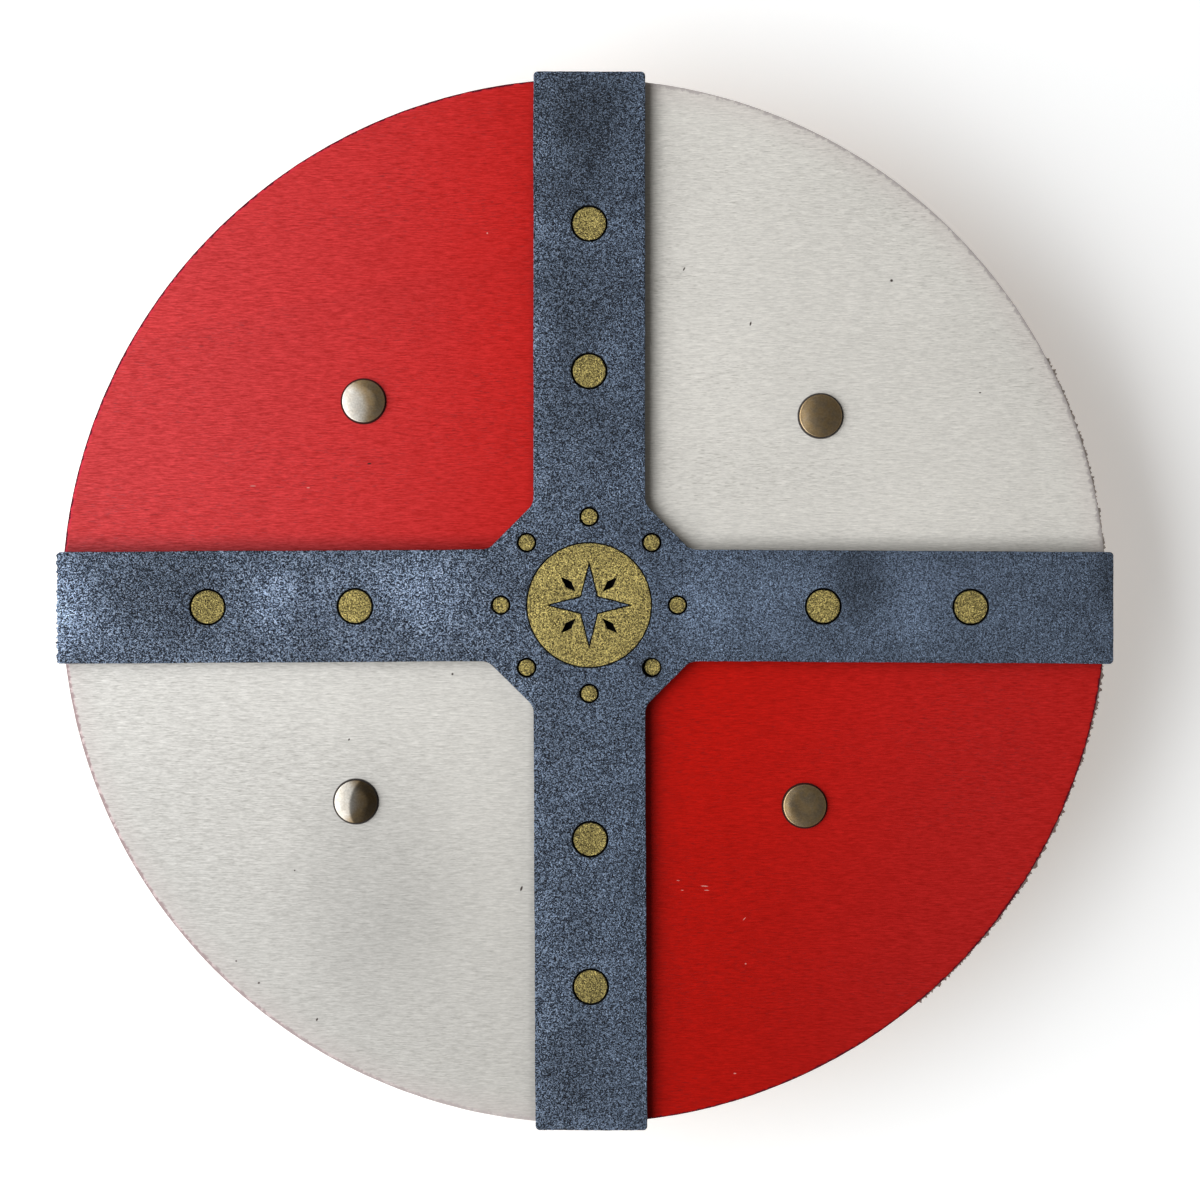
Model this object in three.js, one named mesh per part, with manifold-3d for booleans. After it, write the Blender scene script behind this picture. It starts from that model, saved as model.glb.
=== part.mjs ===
// A child's round play shield: a quartered plywood board with a rubber cross glued to its face,
// gold rubber plugs let into the cross, and two leather straps riveted to its back.
// It lies face up on its straps. Millimetres, +Z up and out of the face, +X to the right and +Y
// to the top of the face, with the origin on the table under the centre of the board.
import * as THREE from "three";
import { mergeVertices } from "three/addons/utils/BufferGeometryUtils.js";
import Module from "manifold-3d";

const wasm = await Module();
wasm.setup();

// Plywood board
const boardDiameter = 300;
const boardThickness = 4;

// Cross cut from rubber sheet, glued a little to the right of the board's centre and below it
const crossThickness = 3;
const crossRight = 1.5;
const crossDown = 1.2;
const barWidth = 32;
const armOverhang = 1.6;
const sideArmDroop = 0.8;
const footArmStray = 0.6;
const armCornerRadius = 1.2;
const hubCornerRadius = 4;
const hubMargin = 3.8;

// Gold plugs and the medallion, let into holes in the cross
const plugGap = 0.3;
const plugSink = 0.3;
const largePlugHole = 10;
const largePlugInset = 40.8;
const largePlugPitch = 42.2;
const smallPlugHole = 5.4;
const smallPlugSpacing = 7.3;
const medallionHole = 36;

// Star let into the medallion, with four open slots between its points
const medallionRim = 5.2;
const starValleyRadius = 3.6;
const slotWeb = 1.8;
const slotShortOfTip = 1.1;
const slotWidth = 2.2;

// Cap rivets: where each one goes through the board, from the board's centre
const rivetPlaces = {
  left: { upper: [-63.3, 57.3], lower: [-65.5, -57.6] },
  right: { upper: [67.9, 53.1], lower: [63.3, -58.8] },
};
const capDiameter = 12.8;
const capRise = 0.7;
const capRimHeight = 0.9;
const capRimRadius = 0.5;
const postDiameter = 3;
const postClearance = 0.3;
const socketDepth = 1.1;

// Leather straps, each one arched between its two rivets and flat where it lies on the table
const strapWidth = 25;
const strapThickness = 2.4;
const strapDrop = 34;
const strapTail = 13;
const strapTailCorner = 8;
const strapShoulder = 2;
const strapFlat = 28;

// Film of glue, paint or air between pieces that lie on each other
const restGap = 0.2;

// Fineness: how far a flat side of a round piece may stand inside its circle, and steps in a bend
const chordError = 0.05;
const cornerSteps = 4;
const tailCornerSteps = 6;
const capEdgeSteps = 2;
const capDomeSteps = 3;
const strapRiseSteps = 12;
const weldTolerance = 1e-4;

// Heights that the pieces stack up at, from the table
const boardBack = strapDrop;
const boardFront = boardBack + boardThickness;
const faceSeat = boardFront + restGap;
const strapTop = boardBack - restGap;
const strapUnderside = strapTop - strapThickness;
const backCapSeat = strapUnderside - restGap;

const boardRadius = boardDiameter / 2;
const postHoleRadius = postDiameter / 2 + postClearance;
const quarterTurn = Math.PI / 2;
const quarters = [0, 1, 2, 3].map((turns) => turns * quarterTurn);

const materials = {
  board: new THREE.MeshStandardMaterial({ color: 0xb3231c, roughness: 0.55, metalness: 0 }),
  slate: new THREE.MeshStandardMaterial({ color: 0x4c5868, roughness: 0.6, metalness: 0.3 }),
  gold: new THREE.MeshStandardMaterial({ color: 0x8c7c4a, roughness: 0.55, metalness: 0.4 }),
  brass: new THREE.MeshStandardMaterial({ color: 0x7d6c55, roughness: 0.35, metalness: 0.9 }),
  leather: new THREE.MeshStandardMaterial({ color: 0x5a3822, roughness: 0.65, metalness: 0 }),
};

function namedMesh(name, geometry, material) {
  const mesh = new THREE.Mesh(geometry, material);
  mesh.name = name;
  return mesh;
}

// Sides that a round piece needs, as a multiple of four
function sidesFor(radius) {
  const sides = Math.PI / Math.acos(1 - chordError / radius);
  return 4 * Math.ceil(sides / 4);
}

function circlePoints(radius, x = 0, y = 0) {
  const sides = sidesFor(radius);
  return Array.from({ length: sides }, (_, i) => {
    const angle = (2 * Math.PI * i) / sides;
    return new THREE.Vector2(x + radius * Math.cos(angle), y + radius * Math.sin(angle));
  });
}

// An outline whose corners are rounded by arcs: corners is a list of { at, radius }
function roundedPoints(corners, stepsPerCorner = cornerSteps) {
  const points = [];
  corners.forEach(({ at, radius }, i) => {
    const before = corners[(i + corners.length - 1) % corners.length].at;
    const after = corners[(i + 1) % corners.length].at;
    const inward = before.clone().sub(at).normalize();
    const outward = after.clone().sub(at).normalize();
    const halfAngle = Math.acos(THREE.MathUtils.clamp(inward.dot(outward), -1, 1)) / 2;
    const toTangent = radius / Math.tan(halfAngle);
    const centre = inward.clone().add(outward).normalize()
      .multiplyScalar(radius / Math.sin(halfAngle)).add(at);
    const start = inward.clone().multiplyScalar(toTangent).add(at).sub(centre);
    const turn = Math.sign(inward.cross(outward)) * (Math.PI - 2 * halfAngle);
    for (let step = 0; step <= stepsPerCorner; step += 1) {
      const spoke = start.clone();
      spoke.rotateAround(new THREE.Vector2(), -turn * (step / stepsPerCorner));
      points.push(spoke.add(centre));
    }
  });
  return points;
}

function plate(outline, holes, thickness) {
  const shape = new THREE.Shape(outline);
  shape.holes = holes.map((points) => new THREE.Path(points));
  return new THREE.ExtrudeGeometry(shape, { depth: thickness, bevelEnabled: false });
}

// A round piece turned about the Z axis from [radius, height] pairs, listed from the foot up
function turned(profile, sides) {
  const points = profile.map(([radius, height]) => new THREE.Vector2(radius, height));
  return new THREE.LatheGeometry(points, sides).rotateX(quarterTurn);
}

function rotated(point, angle) {
  return point.clone().rotateAround(new THREE.Vector2(), angle);
}

function solidOf(geometry) {
  const bare = geometry.clone();
  bare.deleteAttribute("normal");
  bare.deleteAttribute("uv");
  const merged = mergeVertices(bare, weldTolerance);
  return new wasm.Manifold(new wasm.Mesh({
    numProp: 3,
    vertProperties: merged.attributes.position.array,
    triVerts: new Uint32Array(merged.index.array),
  }));
}

function geometryOf(solid) {
  const mesh = solid.getMesh();
  const geometry = new THREE.BufferGeometry();
  geometry.setAttribute("position", new THREE.BufferAttribute(mesh.vertProperties, 3));
  geometry.setIndex(new THREE.BufferAttribute(mesh.triVerts, 1));
  return geometry;
}

// Board, bored for the rivets' posts
function makeBoard() {
  const bores = Object.values(rivetPlaces)
    .flatMap((side) => Object.values(side))
    .map(([x, y]) => circlePoints(postHoleRadius, x, y));
  const geometry = plate(circlePoints(boardRadius), bores, boardThickness);
  const mesh = namedMesh("board", geometry, materials.board);
  mesh.position.z = boardBack;
  return mesh;
}

// The cross's arms, each with its reach from the cross's own centre and its direction. The side
// arms droop a little and the foot strays to the right, as they were glued.
const rimReach = boardRadius + armOverhang;
const armLeans = { right: -sideArmDroop, top: 0, left: sideArmDroop, bottom: footArmStray };
const armReaches = {
  right: rimReach - crossRight,
  top: rimReach + crossDown,
  left: rimReach + crossRight,
  bottom: rimReach - crossDown,
};
const arms = Object.entries(armReaches).map(([name, reach], i) => ({
  name,
  reach,
  angle: quarters[i] + Math.atan2(armLeans[name], reach),
}));

// Rings that the holes stand on, and the hub that is wide enough to hold the small ones
const smallPlugRing = medallionHole / 2 + smallPlugSpacing;
const hubChamferDistance = smallPlugRing + smallPlugHole / 2 + hubMargin;
const hubReach = Math.SQRT2 * hubChamferDistance - barWidth / 2;

const largePlugRing = boardRadius - largePlugInset;
const largePlugs = arms.flatMap(({ name, angle }) =>
  ["outer", "inner"].map((place, i) => ({
    name: `large_plug_${name}_${place}`,
    at: rotated(new THREE.Vector2(largePlugRing - i * largePlugPitch, 0), angle),
  })));

const smallPlugCount = 8;
const smallPlugs = Array.from({ length: smallPlugCount }, (_, i) => ({
  name: `small_plug_${i + 1}`,
  at: rotated(new THREE.Vector2(smallPlugRing, 0), (i * 2 * Math.PI) / smallPlugCount),
}));

function makeCross() {
  const halfWidth = barWidth / 2;
  const corners = arms.flatMap(({ angle, reach }) => [
    { at: new THREE.Vector2(reach, -halfWidth), radius: armCornerRadius },
    { at: new THREE.Vector2(reach, halfWidth), radius: armCornerRadius },
    { at: new THREE.Vector2(hubReach, halfWidth), radius: hubCornerRadius },
    { at: new THREE.Vector2(halfWidth, hubReach), radius: hubCornerRadius },
  ].map(({ at, radius }) => ({ at: rotated(at, angle), radius })));
  const holes = [
    circlePoints(medallionHole / 2),
    ...largePlugs.map(({ at }) => circlePoints(largePlugHole / 2, at.x, at.y)),
    ...smallPlugs.map(({ at }) => circlePoints(smallPlugHole / 2, at.x, at.y)),
  ];
  const geometry = plate(roundedPoints(corners), holes, crossThickness);
  return namedMesh("cross", geometry, materials.slate);
}

function makePlug({ name, at }, holeDiameter) {
  const outline = circlePoints(holeDiameter / 2 - plugGap);
  const mesh = namedMesh(name, plate(outline, [], crossThickness - plugSink), materials.gold);
  mesh.position.set(at.x, at.y, 0);
  return mesh;
}

// A four-pointed star: its tips lie on the axes and its valleys between them
function starPoints(tipRadius, valleyRadius) {
  return quarters.flatMap((angle) => [
    rotated(new THREE.Vector2(tipRadius, 0), angle),
    rotated(new THREE.Vector2(valleyRadius, 0), angle + quarterTurn / 2),
  ]);
}

const medallionRadius = medallionHole / 2 - plugGap;
const starHoleTip = medallionRadius - medallionRim;

function makeMedallion() {
  const slotStart = starValleyRadius + slotWeb;
  const slotEnd = starHoleTip - slotShortOfTip;
  const slotMiddle = (slotStart + slotEnd) / 2;
  const lozenge = [
    new THREE.Vector2(slotStart, 0),
    new THREE.Vector2(slotMiddle, -slotWidth / 2),
    new THREE.Vector2(slotEnd, 0),
    new THREE.Vector2(slotMiddle, slotWidth / 2),
  ];
  const slots = quarters.map((angle) =>
    lozenge.map((point) => rotated(point, angle + quarterTurn / 2)));
  const holes = [starPoints(starHoleTip, starValleyRadius), ...slots];
  const geometry = plate(circlePoints(medallionRadius), holes, crossThickness);
  return namedMesh("medallion", geometry, materials.gold);
}

// The star stands back from every side of its hole by the plugs' gap
function makeStar() {
  const holeSide = new THREE.Vector2(starHoleTip, 0)
    .sub(rotated(new THREE.Vector2(starValleyRadius, 0), quarterTurn / 2));
  const tipHalfAngle = Math.abs(Math.atan2(holeSide.y, holeSide.x));
  const tipRadius = starHoleTip - plugGap / Math.sin(tipHalfAngle);
  const valleyRadius = starValleyRadius * (tipRadius / starHoleTip);
  const outline = starPoints(tipRadius, valleyRadius);
  return namedMesh("medallion_star", plate(outline, [], crossThickness), materials.slate);
}

function makeFace() {
  const face = new THREE.Group();
  face.position.set(crossRight, -crossDown, faceSeat);
  face.add(makeCross(), makeMedallion(), makeStar());
  largePlugs.forEach((plug) => face.add(makePlug(plug, largePlugHole)));
  smallPlugs.forEach((plug) => face.add(makePlug(plug, smallPlugHole)));
  return face;
}

// Half of a cap's section, from its rim's foot over its dome to the axis
function capProfile() {
  const radius = capDiameter / 2;
  const shoulder = radius - capRimRadius;
  const edge = Array.from({ length: capEdgeSteps + 1 }, (_, i) => {
    const angle = (quarterTurn * i) / capEdgeSteps;
    return [
      shoulder + capRimRadius * Math.cos(angle),
      capRimHeight - capRimRadius + capRimRadius * Math.sin(angle),
    ];
  });
  const dome = Array.from({ length: capDomeSteps }, (_, i) => {
    const share = 1 - (i + 1) / capDomeSteps;
    return [shoulder * share, capRimHeight + capRise * (1 - share * share)];
  });
  return [[radius, 0], ...edge, ...dome];
}

// A front cap with its post, and the back cap whose socket takes the post's foot
function makeRivet(name, [x, y]) {
  const sides = sidesFor(capDiameter / 2);
  const postFoot = backCapSeat - socketDepth + postClearance - faceSeat;
  const post = [[0, postFoot], [postDiameter / 2, postFoot], [postDiameter / 2, 0]];
  const frontGeometry = turned([...post, ...capProfile()], sides);
  const front = namedMesh(`rivet_cap_${name}`, frontGeometry, materials.brass);
  front.position.z = faceSeat;

  const dome = capProfile().reverse();
  const socket = [[postHoleRadius, 0], [postHoleRadius, socketDepth], [0, socketDepth]];
  const backSection = [...dome, ...socket].map(([radius, depth]) => [radius, -depth]);
  const back = namedMesh(`rivet_back_${name}`, turned(backSection, sides), materials.brass);
  back.position.z = backCapSeat;

  const rivet = new THREE.Group();
  rivet.position.set(x, y, 0);
  rivet.add(front, back);
  return rivet;
}

// Centre line of a strap along its length and height: flat under each rivet, flat on the table
function strapCentreLine(spacing) {
  const tabEnd = spacing / 2 - capDiameter / 2 - strapShoulder;
  const high = strapTop - strapThickness / 2;
  const low = strapThickness / 2;
  const rise = Array.from({ length: strapRiseSteps + 1 }, (_, i) => {
    const share = i / strapRiseSteps;
    const along = THREE.MathUtils.lerp(strapFlat / 2, tabEnd, share);
    const eased = THREE.MathUtils.smoothstep(share, 0, 1);
    return new THREE.Vector2(along, THREE.MathUtils.lerp(low, high, eased));
  });
  rise.push(new THREE.Vector2(spacing / 2 + strapTail, high));
  const fall = rise.map(({ x, y }) => new THREE.Vector2(-x, y)).reverse();
  return [...fall, ...rise];
}

// Outline of a strip of even thickness that follows a centre line
function stripOutline(line, thickness) {
  const offsets = line.map((point, i) => {
    const before = line[Math.max(i - 1, 0)];
    const after = line[Math.min(i + 1, line.length - 1)];
    const along = after.clone().sub(before).normalize();
    return new THREE.Vector2(-along.y, along.x).multiplyScalar(thickness / 2);
  });
  const above = line.map((point, i) => point.clone().add(offsets[i]));
  const below = line.map((point, i) => point.clone().sub(offsets[i]));
  return [...below, ...above.reverse()];
}

function makeStrap(side, { upper, lower }) {
  const top = new THREE.Vector2(...upper);
  const foot = new THREE.Vector2(...lower);
  const run = top.clone().sub(foot);
  const spacing = run.length();

  // The strip is drawn along X and up Y, then turned so that it runs along Y and rises along Z
  const strip = new THREE.ExtrudeGeometry(
    new THREE.Shape(stripOutline(strapCentreLine(spacing), strapThickness)),
    { depth: strapWidth, bevelEnabled: false },
  );
  strip.translate(0, 0, -strapWidth / 2);
  strip.applyMatrix4(new THREE.Matrix4().makeBasis(
    new THREE.Vector3(0, 1, 0), new THREE.Vector3(0, 0, 1), new THREE.Vector3(1, 0, 0)));

  // Seen from below it has round ends and a hole for each post
  const halfWidth = strapWidth / 2;
  const halfLength = spacing / 2 + strapTail;
  const corners = [
    new THREE.Vector2(-halfWidth, -halfLength),
    new THREE.Vector2(halfWidth, -halfLength),
    new THREE.Vector2(halfWidth, halfLength),
    new THREE.Vector2(-halfWidth, halfLength),
  ].map((at) => ({ at, radius: strapTailCorner }));
  const outline = roundedPoints(corners, tailCornerSteps);
  const holes = [-spacing / 2, spacing / 2].map((y) => circlePoints(postHoleRadius, 0, y));
  const cutter = plate(outline, holes, strapDrop + 2 * strapThickness);
  cutter.translate(0, 0, -strapThickness);

  const strap = solidOf(strip).intersect(solidOf(cutter));
  const mesh = namedMesh(`strap_${side}`, geometryOf(strap), materials.leather);
  mesh.position.set((top.x + foot.x) / 2, (top.y + foot.y) / 2, 0);
  mesh.rotation.z = Math.atan2(run.y, run.x) - quarterTurn;
  return mesh;
}

const shield = new THREE.Group();
shield.add(makeBoard(), makeFace());
Object.entries(rivetPlaces).forEach(([side, places]) => {
  Object.entries(places).forEach(([end, place]) => {
    shield.add(makeRivet(`${end}_${side}`, place));
  });
  shield.add(makeStrap(side, places));
});

export default shield;
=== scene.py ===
"""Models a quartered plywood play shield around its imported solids, and sets it up for a portrait.

The file is laid out as an add-on and is run as a script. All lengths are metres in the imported
model's own frame: +X to the right of the painted face, +Y to its top, and +Z out of it. The shield
lies face up on its two straps.
"""

import math

import bmesh
import bpy
from bpy.props import FloatProperty, FloatVectorProperty, PointerProperty
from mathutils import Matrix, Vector


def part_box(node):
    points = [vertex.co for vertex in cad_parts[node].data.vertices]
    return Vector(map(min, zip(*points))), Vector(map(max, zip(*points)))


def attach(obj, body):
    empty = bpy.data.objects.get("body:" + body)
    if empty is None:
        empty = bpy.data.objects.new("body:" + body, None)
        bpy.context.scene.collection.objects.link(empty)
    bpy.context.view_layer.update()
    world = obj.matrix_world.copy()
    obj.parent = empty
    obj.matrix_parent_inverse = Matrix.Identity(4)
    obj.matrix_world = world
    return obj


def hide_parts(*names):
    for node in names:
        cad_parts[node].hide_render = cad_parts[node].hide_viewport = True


bl_info = {
    "name": "Round Play Shield",
    "version": (1, 0, 0),
    "blender": (4, 5, 0),
    "location": "3D View > Sidebar > Shield",
    "description": "Models a quartered plywood play shield around its packed solids",
    "category": "Add Mesh",
}

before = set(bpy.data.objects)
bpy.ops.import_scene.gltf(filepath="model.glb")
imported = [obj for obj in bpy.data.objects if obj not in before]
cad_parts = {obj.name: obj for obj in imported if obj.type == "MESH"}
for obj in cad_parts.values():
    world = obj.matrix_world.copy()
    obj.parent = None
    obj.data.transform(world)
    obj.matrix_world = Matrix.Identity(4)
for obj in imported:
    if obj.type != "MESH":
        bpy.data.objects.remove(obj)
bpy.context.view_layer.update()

MM = 0.001
QUARTER_TURN = math.pi / 2
EIGHTH_TURN = math.pi / 4
ARMS = ("right", "top", "left", "bottom")
SIDES = ("left", "right")
ENDS = ("upper", "lower")


# What the frame says


def middle(node):
    low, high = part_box(node)
    return (low + high) / 2


def width_of(node):
    low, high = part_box(node)
    return high.x - low.x


CROSS_CENTRE = middle("medallion")
BOARD_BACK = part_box("board")[0].z
BOARD_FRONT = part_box("board")[1].z
CROSS_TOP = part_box("cross")[1].z
SMALL_PLUGS = [f"small_plug_{number}" for number in range(1, 9)]
LARGE_PLUGS = [f"large_plug_{arm}_{place}" for arm in ARMS for place in ("inner", "outer")]


# Settings that a user may change


def length(name, millimetres, description):
    return FloatProperty(
        name=name,
        description=description,
        default=millimetres * MM,
        min=0.0,
        precision=5,
        unit="LENGTH",
    )


def share(name, default, description, most=1.0):
    return FloatProperty(name=name, description=description, default=default, min=0.0, max=most)


def linear(display_value):
    """A display value from 0 to 255 as linear light from 0 to 1."""
    value = display_value / 255
    return value / 12.92 if value <= 0.04045 else ((value + 0.055) / 1.055) ** 2.4


def colour(name, display_values, description):
    """A colour that is given as it shows on a screen, from 0 to 255."""
    return FloatVectorProperty(
        name=name,
        description=description,
        default=[linear(value) for value in display_values],
        size=3,
        min=0.0,
        max=1.0,
        subtype="COLOR",
    )


class BoardSettings(bpy.types.PropertyGroup):
    """Sizes and colours of the plywood board."""

    diameter: length("Diameter", width_of("board") / MM, "Width of the round board")
    bore: length("Bore", 3.6, "Width of the holes for the rivets' posts")
    edge_round: length("Edge Round", 0.25, "How far the sawn edge is sanded off")
    face_ply: length("Face Ply", 1.1, "Thickness of the outer plies")
    rim_waver: length("Rim Waver", 0.12, "How far the sawn rim wanders in and out")
    splinters: length("Splinters", 1.5, "How far torn fibres stand in and out of the right rim")
    red_paint: colour("Red Paint", (184, 20, 12), "Paint of the upper left and lower right quarter")
    white_paint: colour("White Paint", (210, 206, 198), "Paint of the other two quarters")
    # Painted sheen: a bluish haze over the paint on the left, standing in for the window's
    # reflection
    painted_sheen: share("Sheen", 0.06, "Shining haze over the paint, on the left")
    veneer: colour("Veneer", (205, 172, 128), "Bare wood of the back")
    veneer_dark: colour("Veneer Grain", (158, 120, 82), "Darker grain of the bare wood")
    sawn_edge: colour("Sawn Edge", (120, 84, 62), "Toasted wood of the sawn rim")


class CrossSettings(bpy.types.PropertyGroup):
    """Sizes and colours of the slate rubber cross."""

    bar_width: length("Bar Width", 32.0, "Width of each of the cross's arms")
    overhang: length("Overhang", 1.5, "How far the arms reach past the board's rim")
    left_shortfall: length("Left Shortfall", 0.7, "How much less the left arm reaches")
    side_arm_droop: length("Side Arm Droop", 0.8, "How far the side arms' ends sit too low")
    foot_arm_stray: length("Foot Arm Stray", 0.6, "How far the lower arm's end strays right")
    hub_margin: length("Hub Margin", 3.7, "Rubber between a small plug and the hub's slanted side")
    hub_corner: length("Hub Corner", 4.0, "Radius of the corners where arms and hub meet")
    arm_corner: length("Arm Corner", 1.2, "Radius of the corners at an arm's end")
    edge_round: length("Edge Round", 0.32, "How far the cut edges are rounded over")
    cut_waver: length("Cut Waver", 0.3, "How far the cut sides wander in and out")
    cut_fray: length("Cut Fray", 0.16, "How rough the cut sides are from step to step")
    torn_end: length("Torn End", 0.9, "How rough the left arm's end is")
    slate_dark: colour("Slate Shade", (7, 10, 22), "Ground of the sprayed coat")
    slate_light: colour("Slate Flake", (135, 154, 180), "Flakes of the sprayed coat")
    cut_rubber: colour("Cut Rubber", (26, 28, 36), "Bare rubber of the cut sides")


class PlugSettings(bpy.types.PropertyGroup):
    """Sizes and colours of the gold plugs, the medallion and its star."""

    large_hole: length("Large Hole", 10.5, "Width of the holes for the arms' plugs")
    small_hole: length("Small Hole", 5.6, "Width of the holes around the medallion")
    medallion_hole: length("Medallion Hole", 36.0, "Width of the hole for the medallion")
    plug_gap: length("Plug Gap", 0.5, "Gap between a plug and its hole")
    gap: length("Gap", 0.3, "Gap around the medallion and around its star")
    edge_round: length("Edge Round", 0.3, "How far the plugs' edges are rounded over")
    crinkle: length("Crinkle", 0.34, "Height of the creases on the small plugs")
    star_rim: length("Star Rim", 5.2, "Gold between the star's tips and the medallion's edge")
    star_valley: length("Star Valley", 3.6, "Distance of the star's valleys from its middle")
    slot_web: length("Slot Web", 1.8, "Gold between a valley and its slot")
    slot_short: length("Slot Short", 1.1, "How far the slots end before the star's tips")
    slot_width: length("Slot Width", 2.2, "Width of the open slots")
    gold_dark: colour("Gold Shade", (50, 38, 10), "Ground of the sprayed gold")
    gold_light: colour("Gold Flake", (246, 224, 137), "Flakes of the sprayed gold")


class RivetSettings(bpy.types.PropertyGroup):
    """Sizes and colours of the cap rivets."""

    cap_diameter: length("Cap", width_of("rivet_cap_upper_left") / MM - 0.3, "Width of a cap")
    cap_rise: length("Cap Rise", 0.7, "Height of the cap's dome over its rim")
    rim_height: length("Rim Height", 0.9, "Height of the cap's rim")
    rim_round: length("Rim Round", 0.5, "Radius of the cap's rolled rim")
    post: length("Post", 3.0, "Width of the post")
    clearance: length("Clearance", 0.3, "Air around the post and under its foot")
    socket: length("Socket", 1.1, "Depth of the back cap's socket")
    dents: length("Dents", 0.04, "Depth of the shallow dents that the setting tool left")
    brass: colour("Brass", (158, 134, 98), "Browned brass")
    # The worn brass also gives the painted highlight on the left caps' flanks
    worn_and_highlit_brass: colour("Worn Brass", (186, 180, 170), "Brass where the brown is rubbed off")
    patina: colour("Patina", (34, 22, 16), "Dark patina under the caps' rims")


class StrapSettings(bpy.types.PropertyGroup):
    """Sizes and colours of the leather straps."""

    width: length("Width", 25.0, "Width of a strap")
    thickness: length("Thickness", 2.4, "Thickness of the leather")
    tail: length("Tail", 13.0, "Leather past each rivet")
    tail_corner: length("Tail Corner", 8.0, "Radius of the tails' corners")
    shoulder: length("Shoulder", 2.0, "Flat leather between a cap and the bend")
    flat: length("Flat", 28.0, "Part of the arch that lies flat on the table")
    edge_round: length("Edge Round", 0.5, "How far the edges are burnished round")
    crease_inset: length("Crease Inset", 2.2, "Distance of the creased line from the edge")
    crease_width: length("Crease Width", 0.35, "Half the width of the creased line")
    leather: colour("Leather", (112, 68, 40), "Dyed grain side")
    leather_dark: colour("Dark Leather", (62, 36, 22), "Pores, crease and burnished edges")
    flesh_side: colour("Flesh Side", (150, 112, 80), "Rough inner side")


class StageSettings(bpy.types.PropertyGroup):
    """Camera, light and floor."""

    camera_height: length("Camera Height", 800.0, "Height of the camera over the board's face")
    view_width: length("View Width", 344.6, "Width of the board's plane that the camera takes in")
    view_right: length("View Right", 4.57, "How far the view is centred right of the board")
    view_up: length("View Up", 0.26, "How far the view is centred above the board's middle")
    window_distance: length("Window Distance", 950.0, "Distance of the window light")
    window_width: length("Window Width", 1700.0, "Width of the window light")
    window_height: length("Window Height", 960.0, "Height of the window light")
    window_power: FloatProperty(
        name="Window Power", description="Power of the window light in watts", default=20.0, min=0
    )
    window_azimuth: FloatProperty(
        name="Window Azimuth",
        description="Direction of the window, turned left from the right of the face",
        default=math.radians(187),
        subtype="ANGLE",
    )
    window_elevation: FloatProperty(
        name="Window Elevation",
        description="Height of the window over the horizon",
        default=math.radians(40),
        subtype="ANGLE",
    )
    room_light: share("Room Light", 0.08, "Brightness of the light from straight above", 2.0)
    wall_light: share("Wall Light", 0.56, "Brightness of the light from the walls", 2.0)
    window_tint: colour("Window Tint", (248, 251, 255), "Colour of the window light")
    room_tint: colour("Room Tint", (255, 252, 247), "Colour of the light from all round")
    floor_colour: colour("Floor", (243, 243, 242), "Colour of the floor")
    floor_glow: share("Floor Glow", 0.3, "Light that the floor gives of itself, as a light table")


# Modelling steps


def edit():
    bpy.ops.object.mode_set(mode="EDIT")
    bpy.ops.mesh.select_all(action="DESELECT")


def leave_edit():
    bpy.ops.object.mode_set(mode="OBJECT")


def only(*objects):
    """Select these objects alone. The first one becomes the active object."""
    if bpy.context.mode != "OBJECT":
        leave_edit()
    bpy.ops.object.select_all(action="DESELECT")
    for item in objects:
        item.select_set(True)
    bpy.context.view_layer.objects.active = objects[0]


def named_start(name):
    """Name the primitive that was just added, and make it the only selected object."""
    piece = bpy.context.object
    piece.name = name
    piece.data.name = name
    only(piece)
    return piece


def settle():
    """Write the active object's place, turn and scale into its mesh."""
    bpy.ops.object.transform_apply(location=True, rotation=True, scale=True)


def add_block(name, size, place):
    bpy.ops.object.select_all(action="DESELECT")
    bpy.ops.mesh.primitive_cube_add(size=1, location=place, scale=size)
    piece = named_start(name)
    settle()
    return piece


def add_disc(name, radius, low, high, place=(0, 0), sides=64):
    """Add a cylinder that stands from height low to height high."""
    bpy.ops.object.select_all(action="DESELECT")
    bpy.ops.mesh.primitive_cylinder_add(
        vertices=sides,
        radius=radius,
        depth=high - low,
        location=(place[0], place[1], (low + high) / 2),
    )
    piece = named_start(name)
    settle()
    return piece


def pick(kind, rule):
    """In edit mode, select only the faces, edges or verts that keep a rule."""
    bpy.ops.mesh.select_mode(type=kind)
    bpy.ops.mesh.select_all(action="DESELECT")
    data = bpy.context.edit_object.data
    mesh = bmesh.from_edit_mesh(data)
    items = {"FACE": mesh.faces, "EDGE": mesh.edges, "VERT": mesh.verts}[kind]
    found = [item for item in items if rule(item)]
    if not found:
        raise RuntimeError(f"{data.name}: nothing to select for this step")
    for item in found:
        item.select_set(True)
    mesh.select_flush_mode()
    bmesh.update_edit_mesh(data)


def edge_middle(edge):
    return (edge.verts[0].co + edge.verts[1].co) / 2


def upright(edge):
    run = edge.verts[1].co - edge.verts[0].co
    return abs(run.z) > 0.99 * run.length


def pick_top():
    pick("FACE", lambda face: face.normal.z > 0.99)


def pick_bottom():
    pick("FACE", lambda face: face.normal.z < -0.99)


def pull(offset):
    """Extrude what is selected by an offset."""
    bpy.ops.mesh.extrude_region_move(TRANSFORM_OT_translate={"value": offset})


def inset(thickness, rise=0.0):
    bpy.ops.mesh.inset(thickness=thickness, depth=rise)


def modify(piece, kind, **settings):
    """Add a modifier with these settings and apply it."""
    only(piece)
    modifier = piece.modifiers.new(kind.title(), kind)
    for name, value in settings.items():
        setattr(modifier, name, value)
    bpy.ops.object.modifier_apply(modifier=modifier.name)


def cut(piece, *cutters):
    """Cut other meshes out of a piece, and remove them."""
    only(*cutters)
    if len(cutters) > 1:
        bpy.ops.object.join()
    cutter = bpy.context.object
    modify(piece, "BOOLEAN", operation="DIFFERENCE", solver="EXACT", object=cutter)
    bpy.data.objects.remove(cutter)


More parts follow.
